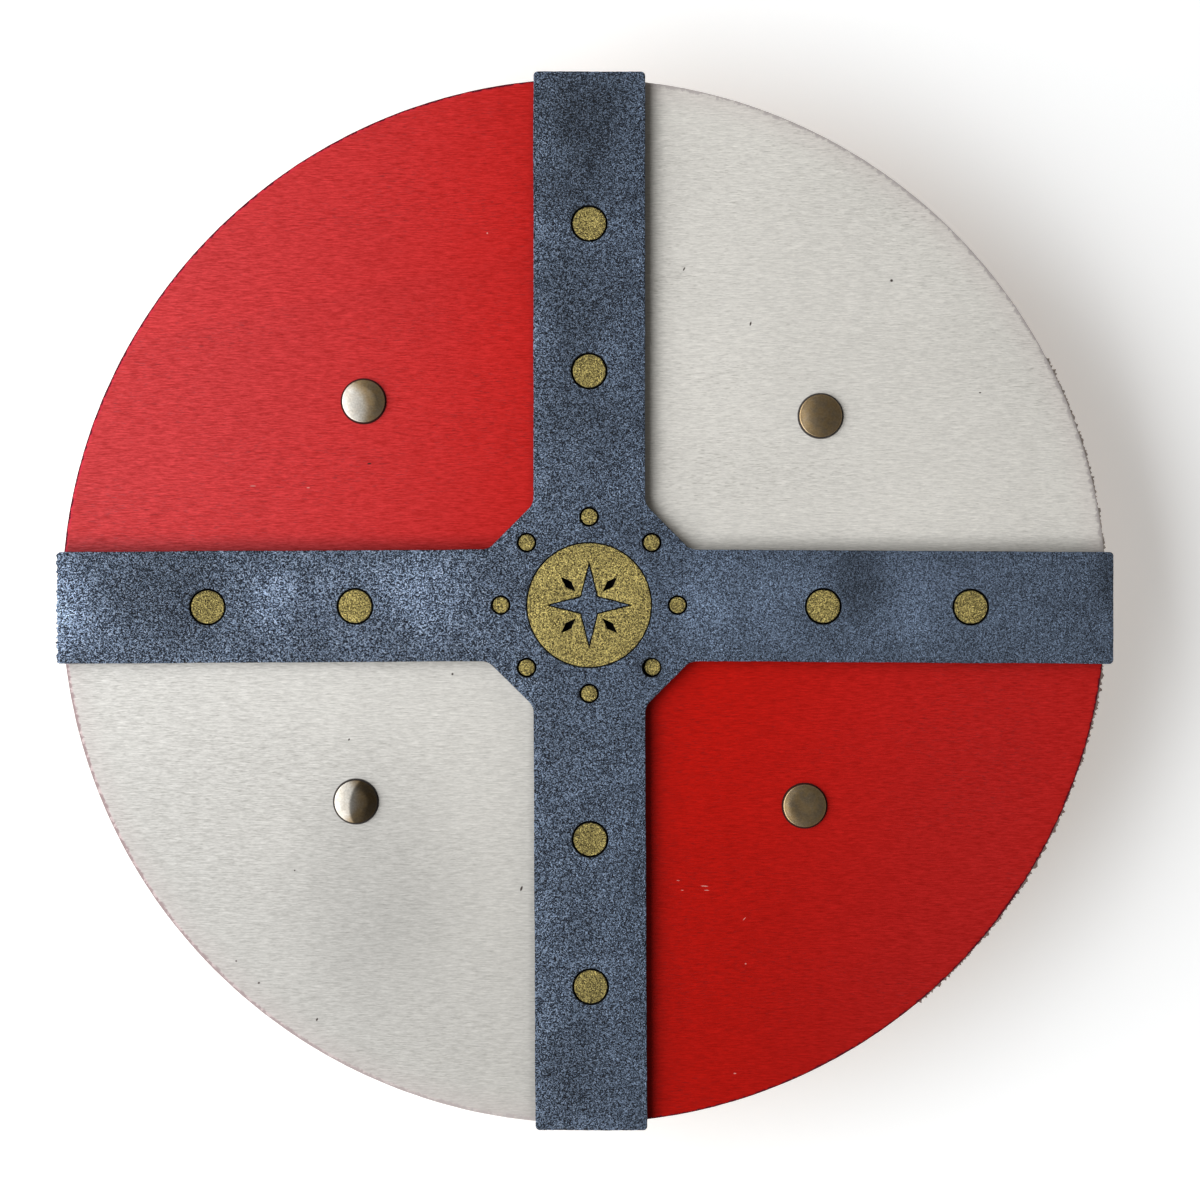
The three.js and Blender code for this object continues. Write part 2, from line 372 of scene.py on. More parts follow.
def round_edges(piece, width, segments=3, sharper_than=50):
    modify(
        piece,
        "BEVEL",
        width=width,
        segments=segments,
        limit_method="ANGLE",
        angle_limit=math.radians(sharper_than),
        use_clamp_overlap=False,
    )


def ripple(
    piece, strength, scale, direction="NORMAL", rule=None, depth=2, contrast=1.0, still=0.5
):
    """Move the verts that keep a rule by soft noise. Noise of the value still doesn't move them."""
    noise = bpy.data.textures.new(f"{piece.name} ripple", "CLOUDS")
    noise.noise_scale = scale
    noise.noise_depth = depth
    noise.contrast = contrast
    group = piece.vertex_groups.new(name="Rippled")
    chosen = [vert.index for vert in piece.data.vertices if rule is None or rule(vert)]
    group.add(chosen, 1.0, "REPLACE")
    modify(
        piece,
        "DISPLACE",
        texture=noise,
        strength=strength,
        mid_level=still,
        direction=direction,
        texture_coords="LOCAL",
        vertex_group=group.name,
    )
    piece.vertex_groups.clear()
    bpy.data.textures.remove(noise)


def copied(model, name, place=(0, 0, 0), turn=0.0, tilt=0.0):
    """Copy a model with its own mesh, turn it about Z, tilt it about Y and put it in place."""
    only(model)
    bpy.ops.object.duplicate(linked=False)
    piece = named_start(name)
    piece.rotation_euler = (0, tilt, turn)
    piece.location = place
    settle()
    return piece


def hand_over(piece, slot, material, *nodes, smooth_below=32):
    """Finish a piece: shade it, give it its material and let it stand for its solids."""
    only(piece)
    if not piece.data.polygons:
        raise RuntimeError(f"{piece.name} has no faces")
    bpy.ops.object.shade_smooth_by_angle(angle=math.radians(smooth_below))
    if material is not None:
        piece.data.materials.clear()
        piece.data.materials.append(material)
    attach(piece, "root")
    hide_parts(*nodes)
    return piece


# Node helpers

# A Mix node has sockets for each kind of data. These are its factor and its two colours
COLOUR_MIX_INPUTS = (0, 6, 7)
COLOUR_MIX_OUTPUT = 2


class Sheet:
    """Adds nodes to one tree, and links them as they are added."""

    def __init__(self, tree):
        self.tree = tree

    def add(self, kind, inputs=None, **settings):
        node = self.tree.nodes.new(kind)
        for name, value in settings.items():
            setattr(node, name, value)
        for name, value in (inputs or {}).items():
            self.put(value, node.inputs[name])
        return node

    def put(self, value, socket):
        if isinstance(value, bpy.types.NodeSocket):
            self.tree.links.new(value, socket)
        elif socket.type == "RGBA" and len(value) == 3:
            socket.default_value = (*value, 1.0)
        else:
            socket.default_value = value

    def maths(self, operation, first, second=0.0, clamp=False):
        node = self.add("ShaderNodeMath", {0: first, 1: second}, operation=operation)
        node.use_clamp = clamp
        return node.outputs[0]

    def times(self, *values):
        result = values[0]
        for value in values[1:]:
            result = self.maths("MULTIPLY", result, value)
        return result

    def plus(self, *values):
        result = values[0]
        for value in values[1:]:
            result = self.maths("ADD", result, value)
        return result

    def minus(self, first, second):
        return self.maths("SUBTRACT", first, second)

    def ramp(self, value, low, high, to_low=0.0, to_high=1.0):
        """Turn low..high softly into to_low..to_high, and hold the ends."""
        inputs = {"Value": value, 1: low, 2: high, 3: to_low, 4: to_high}
        node = self.add("ShaderNodeMapRange", inputs, interpolation_type="SMOOTHSTEP")
        return node.outputs[0]

    def between(self, mask, at_none, at_full):
        """Go softly from one value where a mask is 0 to another where it is 1."""
        return self.ramp(mask, 0, 1, at_none, at_full)

    def blend(self, factor, first, second, way="MIX"):
        node = self.add("ShaderNodeMix", data_type="RGBA", blend_type=way)
        for value, index in zip((factor, first, second), COLOUR_MIX_INPUTS):
            self.put(value, node.inputs[index])
        return node.outputs[COLOUR_MIX_OUTPUT]

    def toned(self, base, tone):
        """Multiply a colour by a grey tone."""
        grey = self.add("ShaderNodeCombineColor", {"Red": tone, "Green": tone, "Blue": tone})
        return self.blend(1.0, base, grey.outputs[0], "MULTIPLY")

    def vector(self, operation, first, second=(0, 0, 0)):
        inputs = {0: first, 1: second}
        node = self.add("ShaderNodeVectorMath", inputs, operation=operation)
        return node.outputs["Value" if operation == "LENGTH" else "Vector"]

    def noise(self, vector, scale=1.0, detail=2.0, roughness=0.55):
        """Soft noise. Where the vector is a place in metres, scale is its waves to the metre."""
        inputs = {"Vector": vector, "Scale": scale, "Detail": detail, "Roughness": roughness}
        return self.add("ShaderNodeTexNoise", inputs).outputs["Fac"]

    def position(self):
        return self.add("ShaderNodeTexCoord").outputs["Object"]

    def split(self, vector):
        return self.add("ShaderNodeSeparateXYZ", {"Vector": vector}).outputs

    def use(self, group, inputs):
        node = self.add("ShaderNodeGroup", node_tree=group)
        for name, value in inputs.items():
            self.put(value, node.inputs[name])
        return node.outputs


def new_group(name, inputs, outputs):
    """Make a node group with named sockets, and return it with its sheet and its two ends."""
    group = bpy.data.node_groups.new(name, "ShaderNodeTree")
    for label, kind, default in inputs:
        socket = group.interface.new_socket(label, in_out="INPUT", socket_type=kind)
        if default is not None:
            socket.default_value = default
    for label, kind in outputs:
        group.interface.new_socket(label, in_out="OUTPUT", socket_type=kind)
    start = group.nodes.new("NodeGroupInput").outputs
    end = group.nodes.new("NodeGroupOutput").inputs
    return group, Sheet(group), start, end


def new_material(name):
    """Make an empty node material, and return it with its sheet and its Principled shader."""
    material = bpy.data.materials.new(name)
    material.use_nodes = True
    material.node_tree.nodes.clear()
    sheet = Sheet(material.node_tree)
    shader = sheet.add("ShaderNodeBsdfPrincipled")
    sheet.add("ShaderNodeOutputMaterial", {"Surface": shader.outputs[0]})
    return material, sheet, shader


def wear_shader(sheet, shader, inputs):
    for name, value in inputs.items():
        sheet.put(value, shader.inputs[name])


def bumped(sheet, height, distance, strength=1.0):
    inputs = {"Height": height, "Distance": distance, "Strength": strength}
    return sheet.add("ShaderNodeBump", inputs).outputs[0]


# Effects that several materials share

FLOAT = "NodeSocketFloat"
VECTOR = "NodeSocketVector"


def shared(name, build):
    return bpy.data.node_groups.get(name) or build(name)


def build_grain(name):
    """Wood grain along X: long soft fibres, and short darker dashes that gather in drifts."""
    group, sheet, start, end = new_group(
        name,
        [
            ("Vector", VECTOR, None),
            ("Fibre Length", FLOAT, 5.0 * MM),
            ("Fibre Width", FLOAT, 0.25 * MM),
            ("Drift Size", FLOAT, 30 * MM),
        ],
        [("Fibres", FLOAT), ("Dashes", FLOAT), ("Drifts", FLOAT)],
    )
    place = start["Vector"]
    sway = sheet.times(sheet.minus(sheet.noise(place, 24.0, 1.0), 0.5), 4 * MM)
    swayed = sheet.add("ShaderNodeCombineXYZ", {"Y": sway})
    place = sheet.vector("ADD", place, swayed.outputs[0])

    def stretched(along, across):
        size = sheet.add("ShaderNodeCombineXYZ", {"X": along, "Y": across, "Z": across})
        return sheet.vector("DIVIDE", place, size.outputs[0])

    fibres = sheet.noise(stretched(start["Fibre Length"], start["Fibre Width"]), 1.0, 3.0, 0.6)
    short = sheet.times(start["Fibre Length"], 0.45)
    thick = sheet.times(start["Fibre Width"], 1.05)
    dashes = sheet.noise(sheet.vector("ADD", stretched(short, thick), (7.3, 3.1, 0)), 1.0, 1.0)
    wide = sheet.times(start["Drift Size"], 2.2)
    drifts = sheet.noise(stretched(wide, start["Drift Size"]), 1.0, 2.0)
    drifts = sheet.ramp(drifts, 0.32, 0.68)
    threshold = sheet.plus(0.66, sheet.times(drifts, -0.07))
    dashes = sheet.maths("MULTIPLY", sheet.minus(dashes, threshold), 9.0, clamp=True)
    sheet.put(sheet.ramp(fibres, 0.3, 0.7), end["Fibres"])
    sheet.put(dashes, end["Dashes"])
    sheet.put(drifts, end["Drifts"])
    return group


def build_spot(name):
    """One oval spot: 1 inside it, and 0 past its edge."""
    group, sheet, start, end = new_group(
        name,
        [
            ("Vector", VECTOR, None),
            ("Centre", VECTOR, (0, 0, 0)),
            ("Half Size", VECTOR, (MM, MM, 1)),
            ("Turn", FLOAT, 0.0),
            ("Softness", FLOAT, 0.5),
        ],
        [("Spot", FLOAT)],
    )
    turn = sheet.add("ShaderNodeCombineXYZ", {"Z": start["Turn"]})
    inputs = {
        "Vector": start["Vector"],
        "Location": start["Centre"],
        "Rotation": turn.outputs[0],
        "Scale": start["Half Size"],
    }
    mapped = sheet.add("ShaderNodeMapping", inputs, vector_type="TEXTURE")
    distance = sheet.vector("LENGTH", mapped.outputs[0])
    sheet.put(sheet.ramp(distance, 1.0, sheet.minus(1.0, start["Softness"])), end["Spot"])
    return group


def build_flakes(name):
    """A sprayed metallic coat: fine mottling, brighter flakes, soft patches, and its height."""
    group, sheet, start, end = new_group(
        name,
        [
            ("Vector", VECTOR, None),
            ("Flake Size", FLOAT, 0.3 * MM),
            ("Patch Size", FLOAT, 14 * MM),
        ],
        [("Mottle", FLOAT), ("Flakes", FLOAT), ("Patches", FLOAT), ("Height", FLOAT)],
    )

    def sized(size):
        even = sheet.add("ShaderNodeCombineXYZ", {"X": size, "Y": size, "Z": size})
        return sheet.vector("DIVIDE", start["Vector"], even.outputs[0])

    mottle = sheet.noise(sized(start["Flake Size"]), 0.8, 2.0, 0.6)
    worms = sheet.noise(sized(start["Flake Size"]), 0.62, 0.0)
    worms = sheet.ramp(sheet.maths("ABSOLUTE", sheet.minus(worms, 0.5)), 0.13, 0.0)
    cells = sheet.add(
        "ShaderNodeTexVoronoi", {"Vector": sized(start["Flake Size"]), "Scale": 0.9}
    )
    lone = sheet.split(cells.outputs["Color"])[0]
    chips = sheet.times(sheet.ramp(lone, 0.45, 0.95), 0.6)
    sheet.put(sheet.ramp(mottle, 0.36, 0.64), end["Mottle"])
    worms_seen = sheet.times(worms, sheet.ramp(lone, 0.1, 0.8))
    sheet.put(sheet.maths("MAXIMUM", chips, worms_seen), end["Flakes"])
    sheet.put(sheet.ramp(sheet.noise(sized(start["Patch Size"])), 0.3, 0.7), end["Patches"])
    height = sheet.plus(mottle, sheet.times(lone, 0.25), sheet.times(worms, 0.35))
    sheet.put(height, end["Height"])
    return group


def build_sides(name):
    """1 on faces that look sideways, such as cut edges, and 0 on faces that look up or down."""
    group, sheet, start, end = new_group(
        name, [("Start", FLOAT, 0.6), ("Full", FLOAT, 0.25)], [("Sides", FLOAT)]
    )
    normal = sheet.add("ShaderNodeTexCoord").outputs["Normal"]
    upward = sheet.maths("ABSOLUTE", sheet.split(normal)[2])
    sheet.put(sheet.ramp(upward, start["Start"], start["Full"]), end["Sides"])
    return group


def spot(sheet, position, x, y, half_long, half_wide=None, turn=0.0, softness=0.5):
    """Mask of an oval spot, placed in millimetres on the board."""
    inputs = {
        "Vector": position,
        "Centre": (x * MM, y * MM, 0),
        "Half Size": (half_long * MM, (half_wide or half_long) * MM, 1),
        "Turn": math.radians(turn),
        "Softness": softness,
    }
    return sheet.use(shared("Oval Spot", build_spot), inputs)[0]


# Materials

# Specks in the paint, in millimetres from the board's middle: x, y, half length, half width, turn
DARK_SPECKS = [
    (28.7, 95.3, 0.75, 0.28, 60),
    (47.8, 79.6, 0.8, 0.32, 75),
    (88.3, 92.0, 0.55, 0.5, 0),
    (113.7, 59.8, 0.4, 0.25, 0),
    (-61.7, 39.4, 0.8, 0.3, 5),
    (-37.8, -21.0, 0.42, 0.4, 0),
    (-18.0, -82.6, 1.0, 0.4, 70),
    (-76.7, -120.2, 0.6, 0.35, 60),
    (-93.4, -109.7, 0.45, 0.35, 20),
    (-67.5, -39.8, 0.45, 0.3, 60),
    (-99.9, -103.4, 0.35, 0.3, 0),
    (-83.1, -77.4, 0.3, 0.28, 0),
]
PALE_SCRATCHES = [
    (34.6, -81.9, 1.3, 0.2, -4),
    (35.2, -83.1, 0.9, 0.17, -2),
    (27.0, -80.3, 0.5, 0.14, 0),
    (28.2, -83.1, 0.5, 0.13, 0),
    (46.0, -91.3, 0.7, 0.14, 45),
    (46.4, -104.2, 0.3, 0.25, 0),
    (43.3, -135.7, 0.5, 0.2, 0),
    (-95.1, 33.0, 1.1, 0.15, 0),
    (-79.2, 32.5, 0.6, 0.2, 0),
    (-27.8, 105.6, 0.3, 0.3, 0),
]


# Colours that use and the saw left on the paint and the wood, and colours of painted sheen and
# painted shade, as linear light
RED_DASHES = (0.2, 0.008, 0.008)
PALE_DASHES = (0.25, 0.235, 0.2)
PAINTED_SHEEN_HAZE = (0.78, 0.86, 1.0)
CAP_SHADOW_RING = (0.02, 0.012, 0.01)
SPECK = (0.035, 0.02, 0.018)
SCRATCH = (0.75, 0.4, 0.35)
RED_LIP = (0.6, 0.02, 0.05)
PALE_LIP = (0.62, 0.4, 0.42)
RED_BURN = (0.085, 0.006, 0.014)
PALE_BURN_RIGHT = (0.46, 0.43, 0.41)
PALE_BURN_LEFT = (0.27, 0.19, 0.19)
BLUSH = (0.56, 0.46, 0.44)
PAINTED_GAP_SHADE = (0.01, 0.01, 0.012)
TOASTED_WOOD = (0.045, 0.022, 0.014)
TORN_WOOD = (0.36, 0.3, 0.26)

# The product of the distances from the two bars, over which one quarter turns into the next
QUARTER_STEP = 1e-8
# How far the painted gap shade stays inside the arms' sides, and how far it reaches under the hub
SHADE_MARGIN = 1.2 * MM
SHADED_HUB = 29.5 * MM
# Thickness of the line where two plies meet
PLY_LINE = 0.1 * MM


def speckle(sheet, position, places):
    """Mask of many small spots."""
    masks = [spot(sheet, position, *place) for place in places]
    return sheet.maths("MINIMUM", sheet.plus(*masks), 1.0)


def from_cross(sheet, position):
    """How far a place lies right of the cross's middle, and how far above it."""
    x, y, _ = sheet.split(position)
    return sheet.minus(x, CROSS_CENTRE.x), sheet.minus(y, CROSS_CENTRE.y)


def in_white(sheet, right, above):
    """1 in the white quarters, and 0 in the red ones."""
    return sheet.ramp(sheet.times(right, above), -QUARTER_STEP, QUARTER_STEP)


def painted_shadow_by_bars(sheet, right, above):
    """Tone of the paint, with painted shadow that darkens it beside and above the bars."""
    half = bpy.context.scene.shield_cross.bar_width / 2
    shadowed = 0.0
    for away, lane, strength in (
        (right, 6.5 * MM, 0.42),
        (sheet.minus(0.0, right), 2.0 * MM, 0.16),
        (above, 5.5 * MM, 0.28),
    ):
        near = sheet.ramp(away, half + lane, half)
        shadow = sheet.times(near, sheet.maths("GREATER_THAN", away, 0.0), strength)
        shadowed = sheet.maths("MAXIMUM", shadowed, shadow)
    return sheet.minus(1.0, shadowed)


def uneven_coat(sheet, position, white):
    """Tone of the paint: cloudy, darker at the lower left, and lighter above a sloping line at the
    upper left. Its darkening towards the foot is painted shade, a falloff of the light."""
    x, y, _ = sheet.split(position)
    cloud = sheet.ramp(sheet.noise(position, 22.0), 0.3, 0.7, 0.975, 1.025)
    # Painted shade: the paint darkens towards the foot, as the light falls off
    painted_falloff_to_foot = sheet.ramp(y, -130 * MM, 30 * MM, 0.79, 1.0)
    darker_lower_left = spot(sheet, position, -60.0, -80.0, 40.0, 62.0, softness=1.0)
    line_height = sheet.plus(sheet.times(x, 0.23), 104.4 * MM)
    over_line = sheet.times(
        sheet.ramp(sheet.minus(y, line_height), -2.5 * MM, 2.5 * MM),
        sheet.minus(1.0, white),
        sheet.ramp(x, 0, -8 * MM),
    )
    spots = sheet.times(sheet.between(over_line, 1.0, 1.06), sheet.between(darker_lower_left, 1.0, 0.84))
    return sheet.times(cloud, painted_falloff_to_foot, spots)


def quarter_paint(sheet, settings, position, white, tone, dashes):
    """Red and white paint in a given tone, with darker dashes of the grain."""
    x, y, _ = sheet.split(position)
    # The red is up to 6% lighter in the upper left quarter
    lighter_upper_left = sheet.times(
        sheet.ramp(x, 0, -20 * MM),
        sheet.ramp(y, 110 * MM, 60 * MM),
        sheet.maths("GREATER_THAN", y, 0.0),
    )
    red = sheet.toned(settings.red_paint, sheet.times(tone, sheet.between(lighter_upper_left, 1.0, 1.06)))
    red = sheet.blend(sheet.times(dashes, 0.5), red, RED_DASHES)
    lit = sheet.ramp(x, 0, 60 * MM, 1.0, 1.04)
    pale = sheet.toned(settings.white_paint, sheet.times(tone, lit))
    pale = sheet.blend(sheet.times(dashes, 0.42), pale, PALE_DASHES)
    return sheet.blend(white, red, pale)


def painted_sheen_on(sheet, settings, position, white, leftward, fuzz):
    """How much painted sheen, a bluish haze, lies on the paint: most of it at the left, and in the
    grain's hollows.
    """
    x = sheet.split(position)[0]
    on_red = sheet.times(sheet.ramp(x, 30 * MM, 130 * MM), sheet.between(white, 0.2, 0.03))
    in_lane = sheet.times(sheet.ramp(x, 0, -20 * MM), sheet.ramp(x, -110 * MM, -50 * MM), 0.08)
    held = sheet.ramp(fuzz, -0.4, 0.4, 0.35 * settings.painted_sheen, settings.painted_sheen)
    return sheet.times(sheet.plus(leftward, on_red, in_lane), held)


def painted_cap_shadows(sheet, position):
    """Mask of the painted contact shadow: a dark line around the cap rivets' rims."""
    cap_reach = bpy.context.scene.shield_rivets.cap_diameter / 2
    rings = []
    for side in SIDES:
        for end in ENDS:
            away = sheet.vector("SUBTRACT", position, (*rivet_place(end, side), BOARD_FRONT))
            from_cap = sheet.minus(sheet.vector("LENGTH", away), cap_reach)
            rings.append(sheet.ramp(from_cap, 0.45 * MM, 0.3 * MM))
    return sheet.plus(*rings)


def under_cross(sheet, position, right, above):
    """Mask of the board under the cross, a little inside the cross's sides, where painted shade
    lies.
    """
    half = bpy.context.scene.shield_cross.bar_width / 2 - SHADE_MARGIN
    upright_arms = sheet.maths("LESS_THAN", sheet.maths("ABSOLUTE", right), half)
    level_arms = sheet.maths("LESS_THAN", sheet.maths("ABSOLUTE", above), half)
    from_middle = sheet.vector("SUBTRACT", position, (*CROSS_CENTRE.xy, BOARD_FRONT))
    hub = sheet.maths("LESS_THAN", sheet.vector("LENGTH", from_middle), SHADED_HUB)
    return sheet.maths("MAXIMUM", sheet.maths("MAXIMUM", upright_arms, level_arms), hub)


def worn_at_rim(sheet, settings, position, paint, white, leftward):
    """Paint with a blush near the rim, and with a ragged, burnt edge that has a lip on the left."""
    reach = sheet.vector("LENGTH", sheet.vector("MULTIPLY", position, (1, 1, 0)))
    to_rim = sheet.minus(settings.diameter / 2, reach)
    lipped = sheet.times(sheet.ramp(to_rim, 1.2 * MM, 0.8 * MM), leftward, 0.5)
    paint = sheet.blend(lipped, paint, sheet.blend(white, RED_LIP, PALE_LIP))
    bitten = sheet.ramp(sheet.noise(position, 700.0, 3.0), 0.3, 0.7)
    ragged = sheet.plus(sheet.times(bitten, sheet.between(white, 0.7 * MM, 1.5 * MM)), 0.25 * MM)
    rubbed = sheet.ramp(to_rim, ragged, sheet.times(ragged, 0.45))
    pale_burn = sheet.blend(leftward, PALE_BURN_RIGHT, PALE_BURN_LEFT)
    paint = sheet.blend(rubbed, paint, sheet.blend(white, RED_BURN, pale_burn))
    blushed = sheet.times(sheet.ramp(to_rim, 9 * MM, 0), white, 0.22)
    return sheet.blend(blushed, paint, BLUSH)


def painted_face(settings):
    """Thin satin paint in quarters, with the veneer's grain showing through."""
    material, sheet, shader = new_material("Painted Plywood")
    position = sheet.position()
    right, above = from_cross(sheet, position)
    white = in_white(sheet, right, above)
    leftward = sheet.ramp(sheet.split(position)[0], 30 * MM, -150 * MM)

    grain = sheet.use(shared("Wood Grain", build_grain), {"Vector": position})
    fine = sheet.noise(sheet.vector("MULTIPLY", position, (480, 2900, 700)), 1.0, 2.0, 0.7)
    fuzz = sheet.plus(sheet.times(grain["Fibres"], 0.4), sheet.times(fine, 1.3), -0.85)
    # The grain's contrast grows towards the left: real grain, with painted sheen on its fibres
    # there
    shown = sheet.times(sheet.between(leftward, 0.62, 0.9), sheet.between(white, 1.0, 0.75))
    fibres = sheet.plus(1.0, sheet.times(fuzz, shown))
    dashes = sheet.times(grain["Dashes"], sheet.between(grain["Drifts"], 0.5, 1.0))

    coat = uneven_coat(sheet, position, white)
    # The tone carries painted shadow beside and above the bars
    tone = sheet.times(fibres, coat, painted_shadow_by_bars(sheet, right, above))
    paint = quarter_paint(sheet, settings, position, white, tone, dashes)
    for mask, shade in (
        # Painted sheen: a bluish haze, most of it at the left
        (painted_sheen_on(sheet, settings, position, white, leftward, fuzz), PAINTED_SHEEN_HAZE),
        # Painted contact shadow around the caps' rims
        (sheet.times(painted_cap_shadows(sheet, position), 0.9), CAP_SHADOW_RING),
        (sheet.times(speckle(sheet, position, DARK_SPECKS), 0.95), SPECK),
        (sheet.times(speckle(sheet, position, PALE_SCRATCHES), 0.6), SCRATCH),
    ):
        paint = sheet.blend(mask, paint, shade)
    paint = worn_at_rim(sheet, settings, position, paint, white, leftward)
    # Painted shade: near-black under the cross, seen in the plugs' gaps and the open slots
    paint = sheet.blend(under_cross(sheet, position, right, above), paint, PAINTED_GAP_SHADE)

    height = sheet.minus(sheet.times(grain["Fibres"], 0.6), sheet.times(dashes, 0.7))
    wear_shader(sheet, shader, {
        "Base Color": paint,
        "Roughness": sheet.between(grain["Fibres"], 0.4, 0.52),
        "Specular IOR Level": 0.05,
        "Normal": bumped(sheet, height, 0.08 * MM, 0.6),
    })
    return material


def sawn_rim(settings):
    """The board's sawn edge: plies with their grain along and across it, toasted and dabbed."""
    material, sheet, shader = new_material("Sawn Plies")
    position = sheet.position()
    x, _, z = sheet.split(position)
    grain = sheet.use(
        shared("Wood Grain", build_grain),
        {"Vector": position, "Fibre Length": 1.2 * MM, "Fibre Width": 0.25 * MM},
    )
    lower, upper = BOARD_BACK + settings.face_ply, BOARD_FRONT - settings.face_ply
    core = sheet.times(
        sheet.ramp(z, lower, lower + PLY_LINE), sheet.ramp(z, upper, upper - PLY_LINE)
    )
    outer = sheet.toned(settings.sawn_edge, sheet.between(grain["Fibres"], 0.72, 1.2))
    inner = sheet.blend(0.45, outer, settings.veneer)
    wood = sheet.blend(core, outer, inner)
    toast = sheet.ramp(sheet.noise(position, 140.0, 3.0), 0.42, 0.62)
    wood = sheet.blend(sheet.times(toast, 0.5), wood, TOASTED_WOOD)
    torn_out = sheet.ramp(x, 70 * MM, 110 * MM)
    wood = sheet.blend(sheet.times(torn_out, 0.85), wood, TORN_WOOD)

    drawn_down = sheet.vector("MULTIPLY", position, (1, 1, 0.2))
    runs = sheet.times(sheet.noise(drawn_down, 420.0), 2.4 * MM)
    painted = sheet.ramp(sheet.minus(BOARD_FRONT, z), runs, sheet.times(runs, 0.6))
    white = in_white(sheet, *from_cross(sheet, position))
    paint = sheet.toned(sheet.blend(white, settings.red_paint, settings.white_paint), 0.5)
    kept = sheet.times(painted, sheet.between(torn_out, 0.9, 0.25))
    wear_shader(sheet, shader, {
        "Base Color": sheet.blend(kept, wood, paint),
        "Roughness": sheet.between(painted, 0.8, 0.5),
        "Specular IOR Level": 0.3,
        "Normal": bumped(sheet, grain["Fibres"], 0.12 * MM, 0.6),
    })
    return material


def bare_veneer(settings):
    """The board's back: sanded, unpainted veneer."""
    material, sheet, shader = new_material("Bare Veneer")
    position = sheet.position()
    grain = sheet.use(
        shared("Wood Grain", build_grain),
        {"Vector": position, "Fibre Length": 14 * MM, "Fibre Width": 0.5 * MM},
    )
    bands = sheet.noise(sheet.vector("MULTIPLY", position, (9, 95, 95)), 1.0, 3.0)
    darker = sheet.plus(
        sheet.times(grain["Fibres"], 0.35),
        sheet.times(sheet.ramp(bands, 0.35, 0.65), 0.4),
        sheet.times(grain["Dashes"], 0.4),
    )
    darker = sheet.maths("MINIMUM", darker, 1.0)
    wood = sheet.blend(darker, settings.veneer, settings.veneer_dark)
    wear_shader(sheet, shader, {
        "Base Color": wood,
        "Roughness": sheet.between(grain["Fibres"], 0.6, 0.74),
        "Specular IOR Level": 0.35,
        "Normal": bumped(sheet, grain["Fibres"], 0.06 * MM, 0.5),
    })
    return material


# Soft spots where the slate coat is darker or brighter, in millimetres from the board's middle:
# x, y, half length, half width, turn, tone in the spot's middle
SLATE_TONES = [
    (-151.0, -2.0, 14.0, 28.0, 0, 2.15),
    (-139.0, -6.0, 11.0, 22.0, 0, 1.25),
    (-120.0, 4.0, 28.0, 26.0, 0, 0.68),
    (-89.0, 0.0, 13.0, 20.0, 0, 1.6),
    (-72.0, 1.0, 14.0, 18.0, 0, 1.24),
    (-45.0, 3.0, 26.0, 22.0, 0, 1.6),
    (36.0, -2.0, 22.0, 26.0, 0, 1.42),
    (58.0, -2.0, 18.0, 22.0, 0, 1.36),
    (79.0, 6.0, 13.0, 22.0, 0, 0.61),
    (98.0, -3.0, 20.0, 22.0, 0, 1.40),
    (124.0, 0.0, 24.0, 26.0, 0, 1.05),
    (151.0, 6.0, 10.0, 20.0, 0, 0.68),
    (-1.0, 140.0, 24.0, 26.0, 0, 0.48),
    (0.0, 118.0, 26.0, 18.0, 0, 0.66),
    (0.0, 88.0, 24.0, 24.0, 0, 0.71),
    (-3.0, 56.0, 22.0, 30.0, 0, 0.7),
    (0.0, 20.0, 30.0, 18.0, 0, 0.91),
    (0.0, -42.0, 22.0, 20.0, 0, 0.86),
    (2.0, -60.0, 22.0, 20.0, 0, 1.02),
    (4.0, -86.0, 22.0, 24.0, 0, 0.98),
    (4.0, -108.0, 20.0, 18.0, 0, 1.04),
    (0.0, -134.0, 22.0, 24.0, 0, 0.75),
    (-14.0, 60.0, 6.0, 90.0, 0, 1.13),
    (-14.0, -90.0, 6.0, 60.0, 0, 0.95),
    (14.0, -90.0, 7.0, 60.0, 0, 0.93),
    (14.0, 90.0, 7.0, 60.0, 0, 0.95),
    (20.0, 17.6, 5.0, 4.5, 0, 0.78),
    (19.0, -18.5, 7.0, 6.0, 0, 0.6),
    (23.0, 24.0, 6.0, 4.0, -45, 0.78),
]
# The gold plugs' and the medallion's tones, given in the same way
GOLD_TONES = [
    (-108.2, -1.0, 9.0, 9.0, 0, 0.86),
    (-65.8, -1.0, 9.0, 9.0, 0, 1.1),
    (1.2, 65.7, 9.0, 9.0, 0, 0.88),
    (1.8, -68.0, 9.0, 9.0, 0, 0.8),
    (1.8, -110.8, 9.0, 9.0, 0, 0.75),
    (0.0, 0.0, 26.0, 26.0, 0, 1.2),
    (1.2, 108.5, 9.0, 9.0, 0, 0.89),
]


# Brightness that the coat's speckle lies around
SPECKLE_MIDDLE = 0.4
COAT_ROUGHNESS = 0.42
# Painted glint: where the speckle is brightest, the flakes' colour is brought this far towards
# white
GLINT_GAIN = 0.6
GLINT_LIFT = 0.32


